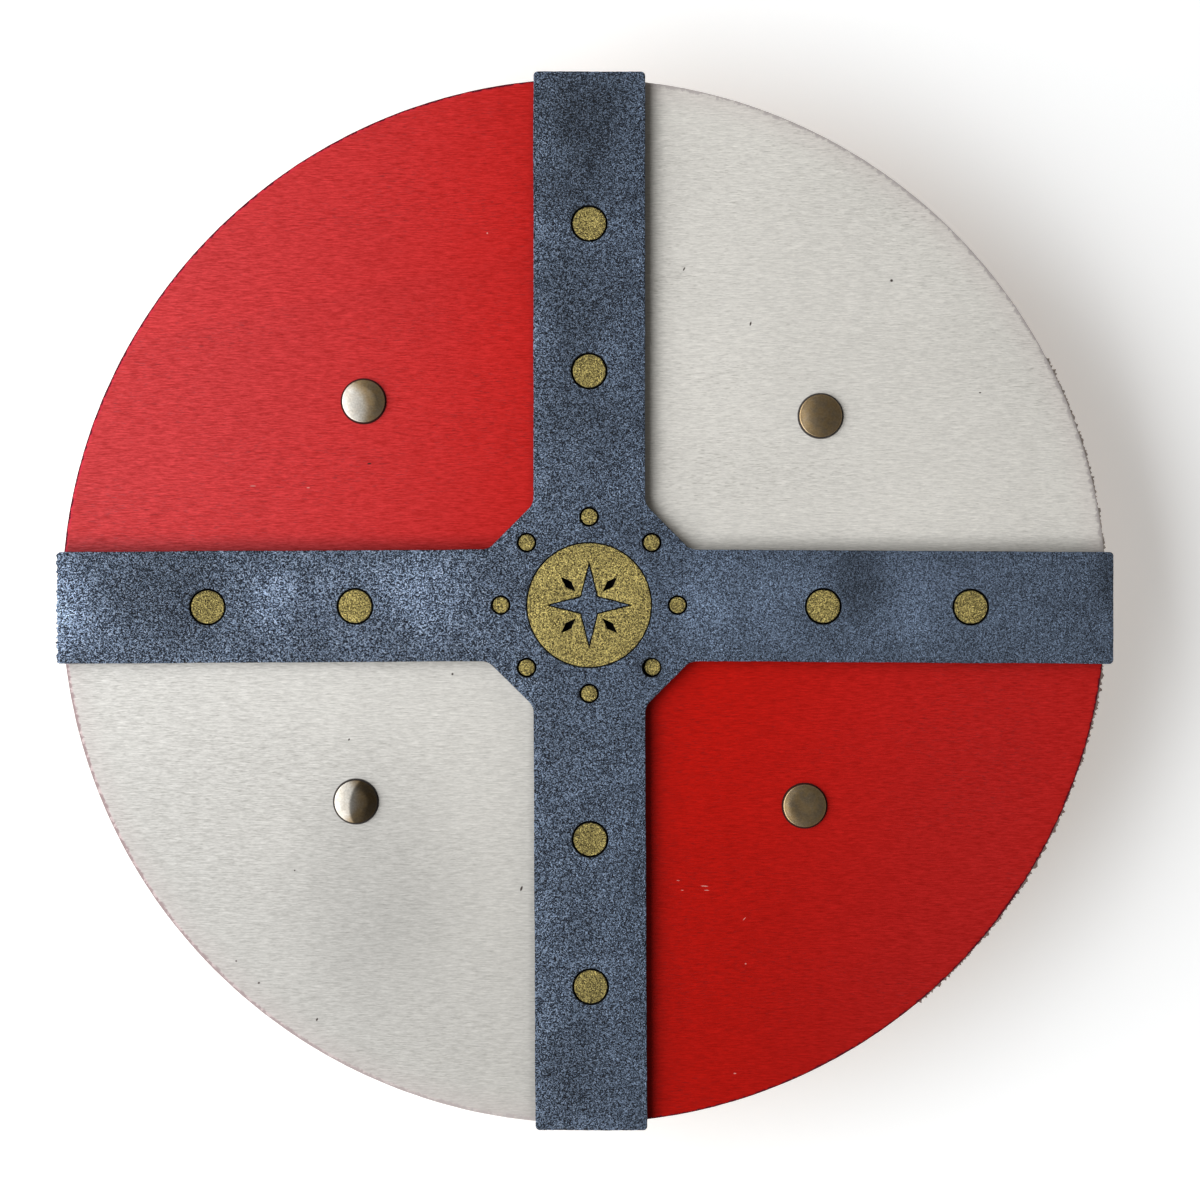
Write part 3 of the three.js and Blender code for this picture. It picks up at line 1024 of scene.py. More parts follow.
def sprayed_rubber(name, dark, light, cut_side, tones, flake_size, spread):
    """Rubber sheet with a sprayed metallic coat on its face, and bare cut sides.

    Spread is the contrast of the coat's speckle: its first value holds at the left of the shield,
    and its second at the right. The stronger speckle on the left is painted glint.
    """
    material, sheet, shader = new_material(name)
    position = sheet.position()
    flakes = sheet.use(
        shared("Sprayed Flakes", build_flakes), {"Vector": position, "Flake Size": flake_size}
    )
    tone = sheet.between(flakes["Patches"], 0.9, 1.1)
    for *place, strength in tones:
        mask = spot(sheet, position, *place, softness=1.0)
        tone = sheet.times(tone, sheet.between(mask, 1.0, strength))
    speckled = sheet.plus(sheet.times(flakes["Mottle"], 0.42), sheet.times(flakes["Flakes"], 0.7))
    # Painted glint: the speckle is stronger towards the left of the shield
    contrast = sheet.ramp(sheet.split(position)[0], -50 * MM, 60 * MM, *spread)
    away = sheet.times(sheet.minus(speckled, SPECKLE_MIDDLE), contrast)
    brightness = sheet.maths("MAXIMUM", sheet.plus(away, SPECKLE_MIDDLE), 0.0)
    # Painted glint: the brightest flakes are brought towards white
    painted_glint = [GLINT_GAIN * value + GLINT_LIFT for value in light]
    flecked = sheet.blend(brightness, dark, light)
    flecked = sheet.blend(sheet.ramp(brightness, 0.95, 1.7, 0.0, 0.6), flecked, painted_glint)
    coat = sheet.toned(flecked, tone)
    sides = sheet.use(shared("Cut Sides", build_sides), {})[0]
    bare = sheet.blend(flakes["Mottle"], cut_side, [1.8 * value for value in cut_side])
    metal = sheet.times(sheet.between(flakes["Mottle"], 0.35, 0.8), sheet.minus(1.0, sides))
    wear_shader(sheet, shader, {
        "Base Color": sheet.blend(sides, coat, bare),
        "Metallic": metal,
        "Roughness": sheet.between(flakes["Mottle"], COAT_ROUGHNESS + 0.14, COAT_ROUGHNESS),
        "Specular IOR Level": 0.4,
        "Normal": bumped(sheet, flakes["Height"], 0.5 * MM, 0.9),
    })
    return material


# Flanks of the front caps with a painted highlight, pale, or a painted dark reflection, in
# millimetres from the cap's middle: x, y, half length, half width, turn
HIGHLIGHT_FLANKS = {
    "upper_left": (-4.4, -1.2, 6.6, 8.6, 24),
    "lower_left": (-5.2, 0.5, 7.0, 10.5, -12),
}
DARK_REFLECTION_FLANKS = {"lower_left": (6.0, -0.8, 8.4, 10.0, -12)}


def browned_brass(settings):
    """Satin brass, browned in a bath and rubbed paler in blotches, with hair scratches, a painted
    highlight on the left caps' left flanks and a painted dark reflection on the lower left cap's
    right flank.
    """
    material, sheet, shader = new_material("Browned Brass")
    position = sheet.position()

    def on_caps(flanks, softness):
        masks = []
        for cap, (x, y, *shape) in flanks.items():
            place = rivet_place(*cap.split("_")) / MM
            masks.append(spot(sheet, position, place.x + x, place.y + y, *shape, softness=softness))
        return sheet.plus(*masks)

    blotches = sheet.ramp(sheet.noise(position, 380.0, 4.0, 0.6), 0.38, 0.66)
    brushing = {"Vector": position, "Rotation": (0, 0, 0.6), "Scale": (260, 5200, 900)}
    brushed = sheet.add("ShaderNodeMapping", brushing).outputs[0]
    hairs = sheet.ramp(sheet.noise(brushed, 1.0, 2.0), 0.6, 0.72)
    # Painted highlight: the left caps' left flanks are paler
    flanks = sheet.times(on_caps(HIGHLIGHT_FLANKS, 0.5), 0.85)
    rubbed = sheet.plus(sheet.times(blotches, 0.2), sheet.times(hairs, 0.2), flanks)
    specked = sheet.ramp(sheet.noise(position, 1900.0, 2.0), 0.3, 0.7, 0.88, 1.12)
    metal = sheet.blend(rubbed, settings.brass, settings.worn_and_highlit_brass)
    # Painted dark reflection on the lower left cap's right flank
    painted_dark_reflection = sheet.between(on_caps(DARK_REFLECTION_FLANKS, 0.16), 1.0, 0.27)
    metal = sheet.toned(metal, sheet.times(specked, painted_dark_reflection))
    sides = sheet.use(shared("Cut Sides", build_sides), {"Start": 0.86, "Full": 0.6})[0]
    metal = sheet.blend(sides, metal, settings.patina)
    wear_shader(sheet, shader, {
        "Base Color": metal,
        "Metallic": sheet.between(sides, 1.0, 0.3),
        "Roughness": sheet.plus(sheet.between(blotches, 0.4, 0.35), sheet.times(sides, 0.35)),
        "Normal": bumped(sheet, sheet.plus(blotches, hairs), 0.01 * MM, 0.4),
    })
    return material


def strap_leather(settings):
    """Vegetable tanned strap: smooth dyed grain outside, rough flesh inside, dark edges."""
    material, sheet, shader = new_material("Strap Leather")
    flat_place = sheet.add("ShaderNodeUVMap", uv_map="Hide").outputs[0]
    pores = sheet.add(
        "ShaderNodeTexVoronoi", {"Vector": flat_place, "Scale": 900.0}, feature="DISTANCE_TO_EDGE"
    )
    creases = sheet.ramp(pores.outputs[0], 0.0, 0.22)
    along = sheet.vector("MULTIPLY", flat_place, (45, 160, 1))
    streaks = sheet.ramp(sheet.noise(along, 1.0, 3.0), 0.3, 0.7)
    grain = sheet.plus(sheet.times(creases, 0.5), sheet.times(streaks, 0.5))
    hide = sheet.blend(grain, settings.leather_dark, settings.leather)

    across = sheet.maths("ABSOLUTE", sheet.split(flat_place)[1])
    edge = settings.width / 2
    near_edge = sheet.ramp(across, edge - 3 * MM, edge - 0.3 * MM)
    from_crease = sheet.maths("ABSOLUTE", sheet.minus(across, edge - settings.crease_inset))
    creased = sheet.ramp(from_crease, 0.5 * MM, 0.15 * MM)
    dark = sheet.maths("MAXIMUM", sheet.times(near_edge, 0.75), sheet.times(creased, 0.6))
    hide = sheet.blend(dark, hide, settings.leather_dark)

    fluff = sheet.ramp(sheet.noise(flat_place, 1400.0, 4.0, 0.7), 0.3, 0.7)
    flesh = sheet.toned(settings.flesh_side, sheet.between(fluff, 0.7, 1.15))
    inner = sheet.add("ShaderNodeAttribute", attribute_name="flesh_side").outputs["Fac"]
    surface = sheet.plus(
        sheet.times(creases, sheet.minus(1.0, inner)), sheet.times(fluff, inner, 1.6)
    )
    wear_shader(sheet, shader, {
        "Base Color": sheet.blend(inner, hide, flesh),
        "Roughness": sheet.plus(sheet.between(grain, 0.46, 0.36), sheet.times(inner, 0.4)),
        "Specular IOR Level": 0.45,
        "Normal": bumped(sheet, surface, 0.1 * MM, 0.5),
    })
    return material


def pale_floor(settings):
    """Plain pale paper, with a breath of tooth."""
    material, sheet, shader = new_material("Pale Paper")
    tooth = sheet.noise(sheet.position(), 700.0, 3.0)
    tone = sheet.ramp(tooth, 0.3, 0.7, 0.99, 1.0)
    wear_shader(sheet, shader, {
        "Base Color": sheet.toned(settings.floor_colour, tone),
        "Roughness": sheet.ramp(tooth, 0.3, 0.7, 0.85, 0.95),
        "Specular IOR Level": 0.2,
        "Emission Color": (1.0, 1.0, 1.0),
        "Emission Strength": settings.floor_glow,
    })
    return material


# Board

RIM_SIDES = 2160
# Width of the flat ring that is left between the rim and the faces
FLAT_MARGIN = 1.2 * MM
# Where the saw tore the rim, in degrees from the right of the face, and the plies that it spared
TORN_FROM, TORN_TO = -50, 28
SPARED = 0.5 * MM
# How far below its face the board still counts as its face
SKIN = 0.4 * MM
PAINTED, SAWN, BARE = range(3)


def torn(vert):
    """Whether a vert is in the right rim's inner plies, where the saw tore the fibres."""
    angle = math.degrees(math.atan2(vert.co.y, vert.co.x))
    inside = BOARD_BACK + SPARED < vert.co.z < BOARD_FRONT - SPARED
    return inside and TORN_FROM < angle < TORN_TO


def model_board(settings):
    """The round board with its plies, its torn rim and the bores for the rivets."""
    radius = settings.diameter / 2
    piece = add_disc("painted_board", radius, BOARD_BACK, BOARD_FRONT, sides=RIM_SIDES)
    edit()
    pick("EDGE", lambda edge: not upright(edge))
    bpy.ops.mesh.bevel(offset=settings.edge_round, segments=2, affect="EDGES")
    pick("FACE", lambda face: abs(face.normal.z) > 0.99)
    inset(FLAT_MARGIN)
    for height in (BOARD_BACK + settings.face_ply, BOARD_FRONT - settings.face_ply):
        bpy.ops.mesh.select_all(action="SELECT")
        bpy.ops.mesh.bisect(plane_co=(0, 0, height), plane_no=(0, 0, 1))
    leave_edit()

    def on_rim(vert):
        return vert.co.xy.length > radius - settings.edge_round - FLAT_MARGIN / 2

    ripple(piece, settings.rim_waver, 4 * MM, rule=on_rim)
    ripple(
        piece,
        settings.splinters,
        0.8 * MM,
        rule=lambda vert: on_rim(vert) and torn(vert),
        contrast=1.8,
        still=0.22,
    )
    bores = [
        add_disc("bore", settings.bore / 2, 0, 2 * CROSS_TOP, rivet_place(end, side), sides=24)
        for side in SIDES
        for end in ENDS
    ]
    cut(piece, *bores)
    return piece


def rivet_place(end, side):
    return middle(f"rivet_cap_{end}_{side}").xy


class ShieldBoard(bpy.types.Operator):
    """Saw the round board, bore it and paint its quarters"""

    bl_idname = "shield.board"
    bl_label = "Board"

    def execute(self, context):
        settings = context.scene.shield_board
        piece = model_board(settings)
        for material in (painted_face(settings), sawn_rim(settings), bare_veneer(settings)):
            piece.data.materials.append(material)
        for face in piece.data.polygons:
            if face.normal.z > 0.5 and face.center.z > BOARD_FRONT - SKIN:
                face.material_index = PAINTED
            elif face.normal.z < -0.5 and face.center.z < BOARD_BACK + SKIN:
                face.material_index = BARE
            else:
                face.material_index = SAWN
        hand_over(piece, "painted_plywood", None, "board")
        return {"FINISHED"}


# Cross

# Cuts along each long side, so that it can waver
FINE_CUTS = 110
NEARLY_STRAIGHT = math.radians(0.05)
# How much each side arm leans to its own left, as a share of the droop
LEANS = {"right": -1, "top": 0, "left": 1, "bottom": 0}


def hub_chamfer(cross, plugs):
    """How far the hub's slanted sides stand back from the corner of two arms."""
    small_ring = (middle("small_plug_1") - CROSS_CENTRE).length
    to_slant = small_ring + plugs.small_hole / 2 + cross.hub_margin
    return math.sqrt(2) * to_slant - cross.bar_width


def model_cross(board, cross, plugs):
    """The cross: a block with four arms drawn out of it, cut back, drilled and worn."""
    half = cross.bar_width / 2
    thickness = CROSS_TOP - BOARD_FRONT
    place = (CROSS_CENTRE.x, CROSS_CENTRE.y, BOARD_FRONT + thickness / 2)
    piece = add_block("cross_sheet", (cross.bar_width, cross.bar_width, thickness), place)
    edit()
    rim_reach = board.diameter / 2 + cross.overhang
    shift = {"right": CROSS_CENTRE.x, "top": CROSS_CENTRE.y}
    shift.update({"left": -shift["right"], "bottom": -shift["top"]})
    for turns, arm in enumerate(ARMS):
        angle = turns * QUARTER_TURN
        outward = Vector((math.cos(angle), math.sin(angle), 0))
        reach = rim_reach - shift[arm] - (arm == "left") * cross.left_shortfall
        lean = LEANS[arm] * cross.side_arm_droop + (arm == "bottom") * cross.foot_arm_stray
        sideways = Vector((-outward.y, outward.x, 0))
        side = CROSS_CENTRE + outward * half
        pick("FACE", lambda face, side=side: (face.calc_center_median() - side).length < 2 * MM)
        pull(outward * (reach - half) + sideways * lean)
    bpy.ops.mesh.select_all(action="SELECT")
    bpy.ops.mesh.dissolve_limited(angle_limit=NEARLY_STRAIGHT)

    def from_centre(edge):
        return (edge_middle(edge) - CROSS_CENTRE).xy

    pick("EDGE", lambda edge: upright(edge) and from_centre(edge).length < 1.5 * half)
    chamfer = hub_chamfer(cross, plugs)
    bpy.ops.mesh.bevel(offset=chamfer, segments=1, affect="EDGES")
    pick("EDGE", lambda edge: upright(edge) and from_centre(edge).length < half + 2 * chamfer)
    tangent = cross.hub_corner * math.tan(EIGHTH_TURN / 2)
    bpy.ops.mesh.bevel(offset=tangent, segments=6, affect="EDGES")
    pick("EDGE", lambda edge: upright(edge) and from_centre(edge).length > rim_reach / 2)
    bpy.ops.mesh.bevel(offset=cross.arm_corner, segments=5, affect="EDGES")
    pick("EDGE", lambda edge: not upright(edge) and edge.calc_length() > half)
    bpy.ops.mesh.subdivide(number_cuts=FINE_CUTS)
    leave_edit()
    for direction in "XY":
        ripple(piece, cross.cut_waver, 26 * MM, direction)
        ripple(piece, cross.cut_fray, 1.3 * MM, direction)
    cut(piece, *hole_cutters(plugs))
    round_edges(piece, cross.edge_round)

    def at_torn_end(vert):
        return vert.co.x < MM + cross.left_shortfall - rim_reach

    ripple(piece, cross.torn_end, 0.7 * MM, "X", at_torn_end, contrast=2.0)
    return piece


def hole_cutters(plugs):
    low, high = BOARD_FRONT - MM, CROSS_TOP + MM
    holes = [("medallion", plugs.medallion_hole, 144)]
    holes += [(node, plugs.large_hole, 72) for node in LARGE_PLUGS]
    holes += [(node, plugs.small_hole, 48) for node in SMALL_PLUGS]
    return [
        add_disc("hole", width / 2, low, high, middle(node).xy, sides)
        for node, width, sides in holes
    ]


def slate_material(cross):
    name = "Slate Rubber"
    return bpy.data.materials.get(name) or sprayed_rubber(
        name,
        cross.slate_dark,
        cross.slate_light,
        cross.cut_rubber,
        SLATE_TONES,
        flake_size=0.3 * MM,
        spread=(2.7, 1.05),
    )


class ShieldCross(bpy.types.Operator):
    """Cut the slate cross out of rubber sheet"""

    bl_idname = "shield.cross"
    bl_label = "Cross"

    def execute(self, context):
        scene = context.scene
        piece = model_cross(scene.shield_board, scene.shield_cross, scene.shield_plugs)
        hand_over(piece, "slate_rubber", slate_material(scene.shield_cross), "cross")
        return {"FINISHED"}


# Gold plugs, medallion and star

# Each plug is turned on from the one before by this angle, so that no two have the same creases
PLUG_TURN = 1.3
# The plug that sits askew in its hole
ASKEW_PLUG = "small_plug_8"
ASKEW_TILT = math.radians(9)
ASKEW_SHIFT = Vector((0.2, 0.15, -0.5)) * MM
# How much less the large plugs are creased than the small ones
LARGE_CRINKLE = 0.45


def gold_material(plugs, cross):
    name = "Gold Rubber"
    return bpy.data.materials.get(name) or sprayed_rubber(
        name,
        plugs.gold_dark,
        plugs.gold_light,
        cross.cut_rubber,
        GOLD_TONES,
        flake_size=0.28 * MM,
        spread=(1.1, 1.1),
    )


def model_plug(name, hole, plugs, rings, crown, sides=64):
    """A plug that stands with its top at height 0, with its face ringed so that it can crinkle."""
    radius = hole / 2 - plugs.plug_gap
    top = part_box(LARGE_PLUGS[0])[1].z
    piece = add_disc(name, radius, BOARD_FRONT - top, 0, sides=sides)
    edit()
    pick("EDGE", lambda edge: not upright(edge) and edge_middle(edge).z > -MM)
    bpy.ops.mesh.bevel(offset=plugs.edge_round, segments=3, affect="EDGES")
    pick_top()
    step = (radius - plugs.edge_round) / (rings + 1)
    for ring in range(rings):
        share_left = 1 - (ring + 0.5) / rings
        inset(step, crown * 2 * share_left / rings)
    bpy.ops.mesh.merge(type="CENTER")
    leave_edit()
    return piece


class ShieldPlugs(bpy.types.Operator):
    """Punch the gold plugs and let them into the cross"""

    bl_idname = "shield.plugs"
    bl_label = "Plugs"

    def execute(self, context):
        plugs, cross = context.scene.shield_plugs, context.scene.shield_cross
        gold = gold_material(plugs, cross)
        large = model_plug("large_model", plugs.large_hole, plugs, 12, 0.1 * MM)
        small = model_plug("small_model", plugs.small_hole, plugs, 9, 0.18 * MM, sides=48)
        for model, nodes, crinkle, scale in (
            (large, LARGE_PLUGS, plugs.crinkle * LARGE_CRINKLE, 1.1 * MM),
            (small, SMALL_PLUGS, plugs.crinkle, 0.9 * MM),
        ):
            for number, node in enumerate(nodes):
                place = Vector((*middle(node).xy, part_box(node)[1].z))
                tilt = 0.0
                if node == ASKEW_PLUG:
                    tilt = ASKEW_TILT
                    place += ASKEW_SHIFT
                piece = copied(model, f"{node}_gold", place, PLUG_TURN * number, tilt)
                face_height = place.z - 0.5 * MM

                def on_face(vert, face_height=face_height):
                    return vert.co.z > face_height

                ripple(piece, crinkle, scale, "Z", on_face)
                hand_over(piece, "gold_rubber", gold, node, smooth_below=50)
            bpy.data.objects.remove(model)
        return {"FINISHED"}


def add_star(name, tip, valley, low, high):
    """A four-pointed prism: an octagon whose every other corner is drawn in to a valley."""
    bpy.ops.object.select_all(action="DESELECT")
    place = (CROSS_CENTRE.x, CROSS_CENTRE.y, low)
    bpy.ops.mesh.primitive_circle_add(vertices=8, radius=tip, fill_type="NGON", location=place)
    piece = named_start(name)
    settle()
    edit()

    def between_points(vert):
        away = vert.co - CROSS_CENTRE
        return min(abs(away.x), abs(away.y)) > 0.3 * tip

    pick("VERT", between_points)
    drawn_in = valley / tip
    bpy.ops.transform.resize(
        value=(drawn_in, drawn_in, 1), center_override=(CROSS_CENTRE.x, CROSS_CENTRE.y, low)
    )
    bpy.ops.mesh.select_mode(type="FACE")
    bpy.ops.mesh.select_all(action="SELECT")
    pull((0, 0, high - low))
    bpy.ops.mesh.select_all(action="SELECT")
    bpy.ops.mesh.normals_make_consistent(inside=False)
    leave_edit()
    return piece


def add_slot(start, stop, width, angle, low, high):
    """A lozenge prism, for one of the open slots between the star's points."""
    bpy.ops.object.select_all(action="DESELECT")
    outward = Vector((math.cos(angle), math.sin(angle), 0))
    at = CROSS_CENTRE.xyz + outward * (start + stop) / 2
    bpy.ops.mesh.primitive_cylinder_add(
        vertices=4, radius=1, depth=high - low, location=(at.x, at.y, (low + high) / 2)
    )
    piece = named_start("slot")
    piece.rotation_euler.z = angle
    piece.scale = ((stop - start) / 2, width / 2, 1)
    settle()
    return piece


class ShieldMedallion(bpy.types.Operator):
    """Cut the medallion with its slots, and let the star into it"""

    bl_idname = "shield.medallion"
    bl_label = "Medallion"

    def execute(self, context):
        plugs, cross = context.scene.shield_plugs, context.scene.shield_cross
        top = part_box("medallion")[1].z
        radius = plugs.medallion_hole / 2 - plugs.gap
        tip = radius - plugs.star_rim
        below, above = BOARD_FRONT - MM, top + MM

        piece = add_disc("medallion_gold", radius, BOARD_FRONT, top, CROSS_CENTRE.xy, 144)
        cutters = [add_star("star_hole", tip, plugs.star_valley, below, above)]
        start, stop = plugs.star_valley + plugs.slot_web, tip - plugs.slot_short
        for turns in range(4):
            angle = EIGHTH_TURN + turns * QUARTER_TURN
            cutters.append(add_slot(start, stop, plugs.slot_width, angle, below, above))
        cut(piece, *cutters)
        round_edges(piece, 0.75 * plugs.edge_round)
        hand_over(piece, "gold_rubber", gold_material(plugs, cross), "medallion")

        valley_out = plugs.star_valley / math.sqrt(2)
        tip_half_angle = math.atan2(valley_out, tip - valley_out)
        inner_tip = tip - plugs.gap / math.sin(tip_half_angle)
        inner_valley = plugs.star_valley * inner_tip / tip
        star = add_star("medallion_star_slate", inner_tip, inner_valley, BOARD_FRONT, top)
        round_edges(star, 0.6 * plugs.edge_round)
        hand_over(star, "slate_rubber", slate_material(cross), "medallion_star")
        return {"FINISHED"}


# Rivets

DOME_RINGS = 9
# Each rivet is turned on from the one before by this angle, so that no two have the same dents
RIVET_TURN = 0.9

# How the crowns of the front caps were struck aside or flat, in millimetres: x, y, z
STRUCK = {
    "upper_left": (2.2, 1.6, 0.0),
    "lower_left": (2.6, 0.5, 0.0),
    "lower_right": (-1.0, -0.6, -0.42),
}


def model_cap(name, settings, foot):
    """A cap that stands with its seat at height 0, and whose rim reaches down to foot."""
    radius = settings.cap_diameter / 2
    shoulder = radius - settings.rim_round
    piece = add_disc(name, radius, foot, settings.rim_height, sides=72)
    edit()
    pick("EDGE", lambda edge: not upright(edge) and edge_middle(edge).z > 0.5 * MM)
    bpy.ops.mesh.bevel(offset=settings.rim_round, segments=5, affect="EDGES")
    pick_top()
    step = shoulder / (DOME_RINGS + 1)
    for ring in range(DOME_RINGS):
        outer = 1 - ring / (DOME_RINGS + 1)
        inner = 1 - (ring + 1) / (DOME_RINGS + 1)
        inset(step, settings.cap_rise * (outer**2 - inner**2))
    bpy.ops.mesh.merge(type="CENTER")
    leave_edit()
    return piece


def strike(piece, settings, x, y, z):
    """Push the crown of a cap aside, so that one flank lies flatter, or push it down."""
    edit()
    crown = max(vert.co.z for vert in piece.data.vertices)
    pick("VERT", lambda vert: vert.co.z > crown - 1e-6)
    bpy.ops.transform.translate(
        value=(x * MM, y * MM, z * MM),
        use_proportional_edit=True,
        proportional_edit_falloff="SMOOTH",
        proportional_size=settings.cap_diameter / 2 - settings.rim_round,
    )
    leave_edit()


def grow_post(piece, settings, foot):
    """Draw the post out of the cap's underside, down to foot."""
    edit()
    pick_bottom()
    inset(settings.cap_diameter / 2 - settings.post / 2)
    pull((0, 0, foot - min(vert.co.z for vert in piece.data.vertices)))
    leave_edit()


def sink_socket(piece, settings):
    """Sink the socket that takes the post's foot into the cap's underside."""
    edit()
    pick_bottom()
    inset(settings.cap_diameter / 2 - settings.post / 2 - settings.clearance)
    pull((0, 0, settings.socket))
    leave_edit()


class ShieldRivets(bpy.types.Operator):
    """Press the rivets' caps and set them through the board"""

    bl_idname = "shield.rivets"
    bl_label = "Rivets"

    def execute(self, context):
        settings = context.scene.shield_rivets
        brass = browned_brass(settings)
        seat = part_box("rivet_cap_upper_left")[1].z - settings.rim_height - settings.cap_rise
        post_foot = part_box("rivet_cap_upper_left")[0].z
        back_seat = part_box("rivet_back_upper_left")[1].z
        front = model_cap("front_model", settings, BOARD_FRONT - seat)
        back = model_cap("back_model", settings, 0.0)
        grow_post(front, settings, post_foot - seat)
        sink_socket(back, settings)
        only(back)
        back.rotation_euler.x = math.pi
        settle()
        number = 0
        for side in SIDES:
            for end in ENDS:
                x, y = rivet_place(end, side)
                turn = RIVET_TURN * number
                for model, label, height in ((front, "cap", seat), (back, "back", back_seat)):
                    node = f"rivet_{label}_{end}_{side}"
                    piece = copied(model, f"{node}_brass", turn=turn)
                    if label == "cap" and f"{end}_{side}" in STRUCK:
                        strike(piece, settings, *STRUCK[f"{end}_{side}"])
                    piece.location = (x, y, height)
                    settle()
                    ripple(piece, settings.dents, 2.6 * MM, depth=1)
                    hand_over(piece, "antique_brass", brass, node, smooth_below=40)
                number += 1
        for model in (front, back):
            bpy.data.objects.remove(model)
        return {"FINISHED"}


# Straps

BEND_STEPS = 40


def strap_line(spacing, settings):
    """Points of the strap's middle line, as length and height: from one tail to the other."""
    low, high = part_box("strap_left")
    top, table = high.z - settings.thickness / 2, low.z + settings.thickness / 2
    cap = width_of("rivet_cap_upper_left")
    tab_end = spacing / 2 - cap / 2 - settings.shoulder
    rise = []
    for step in range(BEND_STEPS + 1):
        part = step / BEND_STEPS
        along = settings.flat / 2 + (tab_end - settings.flat / 2) * part
        rise.append((along, table + (top - table) * part * part * (3 - 2 * part)))
    rise.append((spacing / 2, top))
    rise.append((spacing / 2 + settings.tail, top))
    return [(-along, height) for along, height in reversed(rise)] + rise


def line_length(points):
    return sum(math.dist(a, b) for a, b in zip(points, points[1:]))


def add_guide(points):
    """A curve along the strap's middle line, in the XZ plane."""
    data = bpy.data.curves.new("strap guide", "CURVE")
    data.dimensions = "3D"
    spline = data.splines.new("POLY")
    spline.points.add(len(points) - 1)
    for point, (along, height) in zip(spline.points, points):
        point.co = (along, 0, height, 1)
    guide = bpy.data.objects.new("strap guide", data)
    bpy.context.scene.collection.objects.link(guide)
    return guide


def map_hide(piece):
    """Lay the hide's own map over a flat strap, and mark its inner side."""
    mesh = piece.data
    hide = mesh.uv_layers.new(name="Hide")
    for loop in mesh.loops:
        place = mesh.vertices[loop.vertex_index].co
        hide.data[loop.index].uv = (place.x, place.y)
    flesh = mesh.attributes.new("flesh_side", "FLOAT", "FACE")
    for face in mesh.polygons:
        flesh.data[face.index].value = 1.0 if face.normal.z > 0.5 else 0.0


def model_strap(name, spacing, settings):
    """A strap along X, modelled flat and bent along its guide."""
    points = strap_line(spacing, settings)
    total = line_length(points)
    half = settings.thickness / 2
    piece = add_block(name, (total, settings.width, settings.thickness), (total / 2, 0, 0))
    edit()
    pick("EDGE", upright)
    bpy.ops.mesh.bevel(offset=settings.tail_corner, segments=12, affect="EDGES")
    pick_bottom()
    inset(settings.crease_inset)
    inset(settings.crease_width, -0.5 * settings.crease_width)
    inset(settings.crease_width, 0.5 * settings.crease_width)
    leave_edit()
    bore = bpy.context.scene.shield_board.bore / 2
    holes = [
        add_disc("hole", bore, -2 * half, 2 * half, (along, 0), sides=32)
        for along in (settings.tail, total - settings.tail)
    ]
    cut(piece, *holes)
    round_edges(piece, settings.edge_round, sharper_than=60)
    edit()
    stations = math.ceil(total / (1.5 * MM))
    for step in range(1, stations):
        bpy.ops.mesh.select_all(action="SELECT")
        bpy.ops.mesh.bisect(plane_co=(total * step / stations, 0, 0), plane_no=(1, 0, 0))
    leave_edit()
    map_hide(piece)
    guide = add_guide(points)
    modify(piece, "CURVE", object=guide, deform_axis="POS_X")
    bpy.data.objects.remove(guide)
    return piece


class ShieldStraps(bpy.types.Operator):
    """Cut the leather straps, crease them and bend them to their arch"""

    bl_idname = "shield.straps"
    bl_label = "Straps"

    def execute(self, context):
        settings = context.scene.shield_straps
        hide = strap_leather(settings)
        for side in SIDES:
            upper, lower = rivet_place("upper", side), rivet_place("lower", side)
            run = upper - lower
            node = f"strap_{side}"
            piece = model_strap(f"{node}_leather", run.length, settings)
            only(piece)
            piece.rotation_euler.z = math.atan2(run.y, run.x)
            piece.location = (*((upper + lower) / 2), 0)
            settle()
            hand_over(piece, "strap_leather", hide, node)
        return {"FINISHED"}


# Stage

FLOOR_WIDTH = 12.0


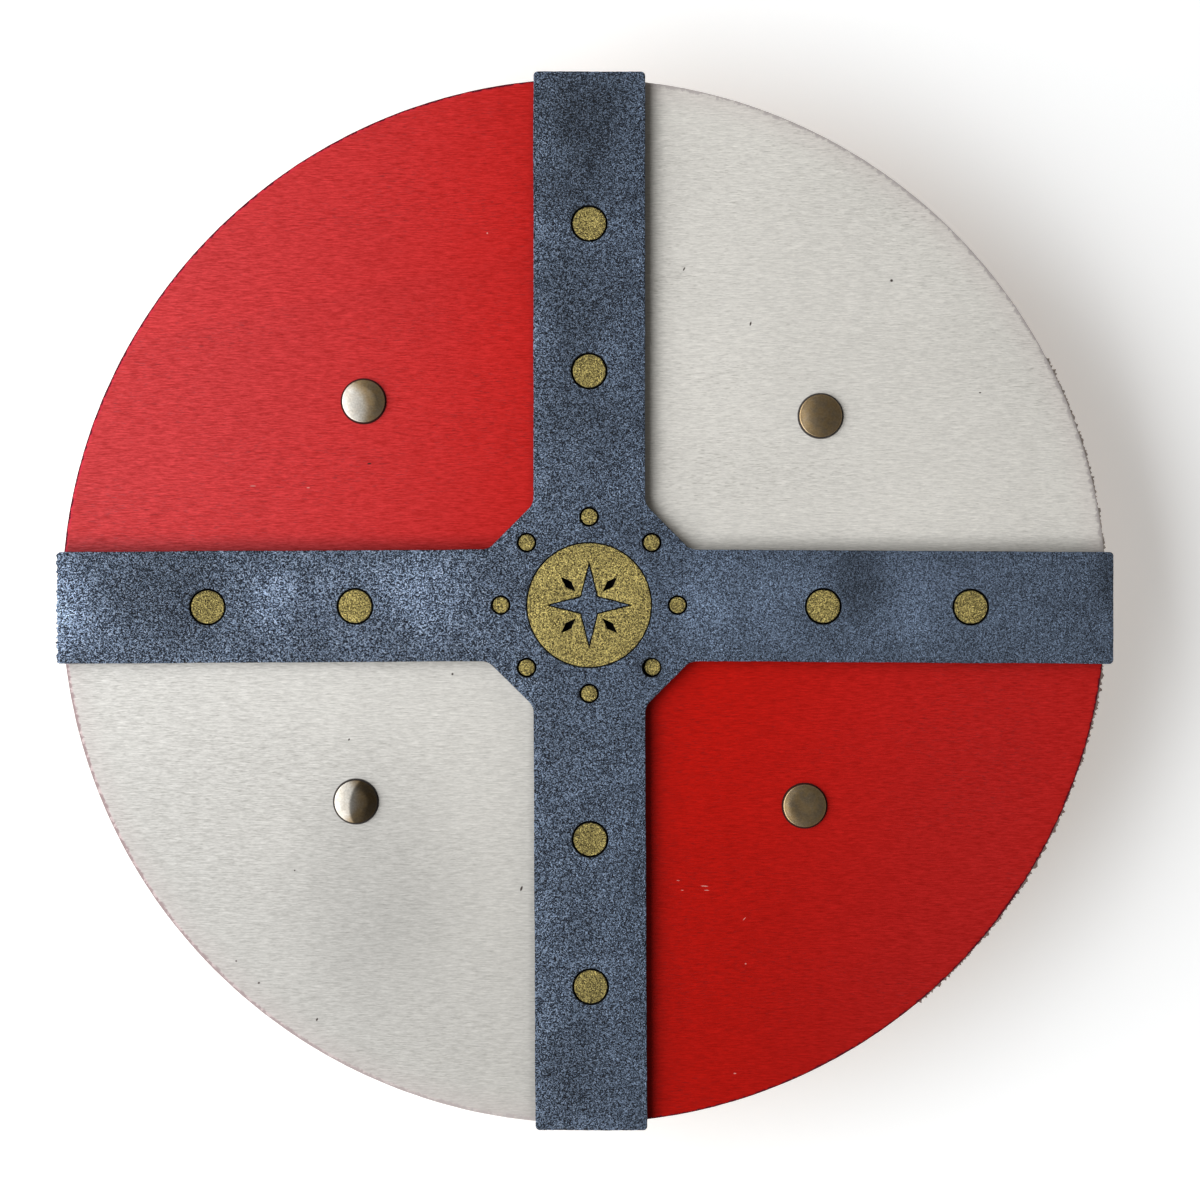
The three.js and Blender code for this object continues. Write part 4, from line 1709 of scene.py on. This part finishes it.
class ShieldStage(bpy.types.Operator):
    """Lay the floor, and set the light and the camera"""

    bl_idname = "shield.stage"
    bl_label = "Stage"

    def execute(self, context):
        scene = context.scene
        settings = scene.shield_stage
        bpy.ops.object.select_all(action="DESELECT")
        bpy.ops.mesh.primitive_plane_add(size=FLOOR_WIDTH, location=(0, 0, 0))
        floor = named_start("floor")
        floor.data.materials.append(pale_floor(settings))
        self.light_room(scene, settings)
        self.add_window(settings)
        self.add_camera(scene, settings)
        return {"FINISHED"}

    def light_room(self, scene, settings):
        world = bpy.data.worlds.new("Soft room")
        world.use_nodes = True
        sheet = Sheet(world.node_tree)
        direction = sheet.add("ShaderNodeTexCoord").outputs["Generated"]
        upward = sheet.maths("ABSOLUTE", sheet.split(direction)[2])
        inputs = {0: upward, 1: 0.0, 2: 1.0, 3: settings.wall_light, 4: settings.room_light}
        strength = sheet.add("ShaderNodeMapRange", inputs).outputs[0]
        background = world.node_tree.nodes["Background"].inputs
        background["Color"].default_value = (*settings.room_tint, 1)
        sheet.put(strength, background["Strength"])
        scene.world = world
        scene.view_settings.view_transform = "Standard"

    def add_window(self, settings):
        level = math.cos(settings.window_elevation)
        towards = Vector((
            math.cos(settings.window_azimuth) * level,
            math.sin(settings.window_azimuth) * level,
            math.sin(settings.window_elevation),
        ))
        target = Vector((0, 0, BOARD_FRONT))
        bpy.ops.object.light_add(type="AREA", location=target + towards * settings.window_distance)
        window = bpy.context.object
        window.name = "window"
        window.rotation_euler = towards.to_track_quat("Z", "Y").to_euler()
        window.visible_camera = False
        window.data.shape = "RECTANGLE"
        window.data.size = settings.window_width
        window.data.size_y = settings.window_height
        window.data.energy = settings.window_power
        window.data.color = settings.window_tint

    def add_camera(self, scene, settings):
        place = (settings.view_right, settings.view_up, BOARD_FRONT + settings.camera_height)
        bpy.ops.object.camera_add(location=place, rotation=(0, 0, 0))
        camera = bpy.context.object
        camera.name = "portrait_camera"
        camera.data.lens = camera.data.sensor_width * settings.camera_height / settings.view_width
        camera.data.clip_start = 10 * MM
        scene.camera = camera


# Panel and registration

SETTINGS = {
    "shield_board": BoardSettings,
    "shield_cross": CrossSettings,
    "shield_plugs": PlugSettings,
    "shield_rivets": RivetSettings,
    "shield_straps": StrapSettings,
    "shield_stage": StageSettings,
}
OPERATORS = (
    ShieldBoard,
    ShieldCross,
    ShieldPlugs,
    ShieldMedallion,
    ShieldRivets,
    ShieldStraps,
    ShieldStage,
)


class ShieldPanel(bpy.types.Panel):
    """Lists the shield's pieces in the sidebar"""

    bl_idname = "VIEW3D_PT_round_play_shield"
    bl_label = "Round Play Shield"
    bl_space_type = "VIEW_3D"
    bl_region_type = "UI"
    bl_category = "Shield"

    def draw(self, context):
        for operator in OPERATORS:
            self.layout.operator(operator.bl_idname)
        for name, group in SETTINGS.items():
            box = self.layout.box()
            box.label(text=group.__name__)
            for field in group.__annotations__:
                box.prop(getattr(context.scene, name), field)


def register():
    for kind in (*SETTINGS.values(), *OPERATORS, ShieldPanel):
        bpy.utils.register_class(kind)
    for name, group in SETTINGS.items():
        setattr(bpy.types.Scene, name, PointerProperty(type=group))


def unregister():
    for name in SETTINGS:
        delattr(bpy.types.Scene, name)
    for kind in reversed((*SETTINGS.values(), *OPERATORS, ShieldPanel)):
        bpy.utils.unregister_class(kind)


def main():
    register()
    bpy.ops.shield.board()
    bpy.ops.shield.cross()
    bpy.ops.shield.plugs()
    bpy.ops.shield.medallion()
    bpy.ops.shield.rivets()
    bpy.ops.shield.straps()
    bpy.ops.shield.stage()


if __name__ == "__main__":
    main()
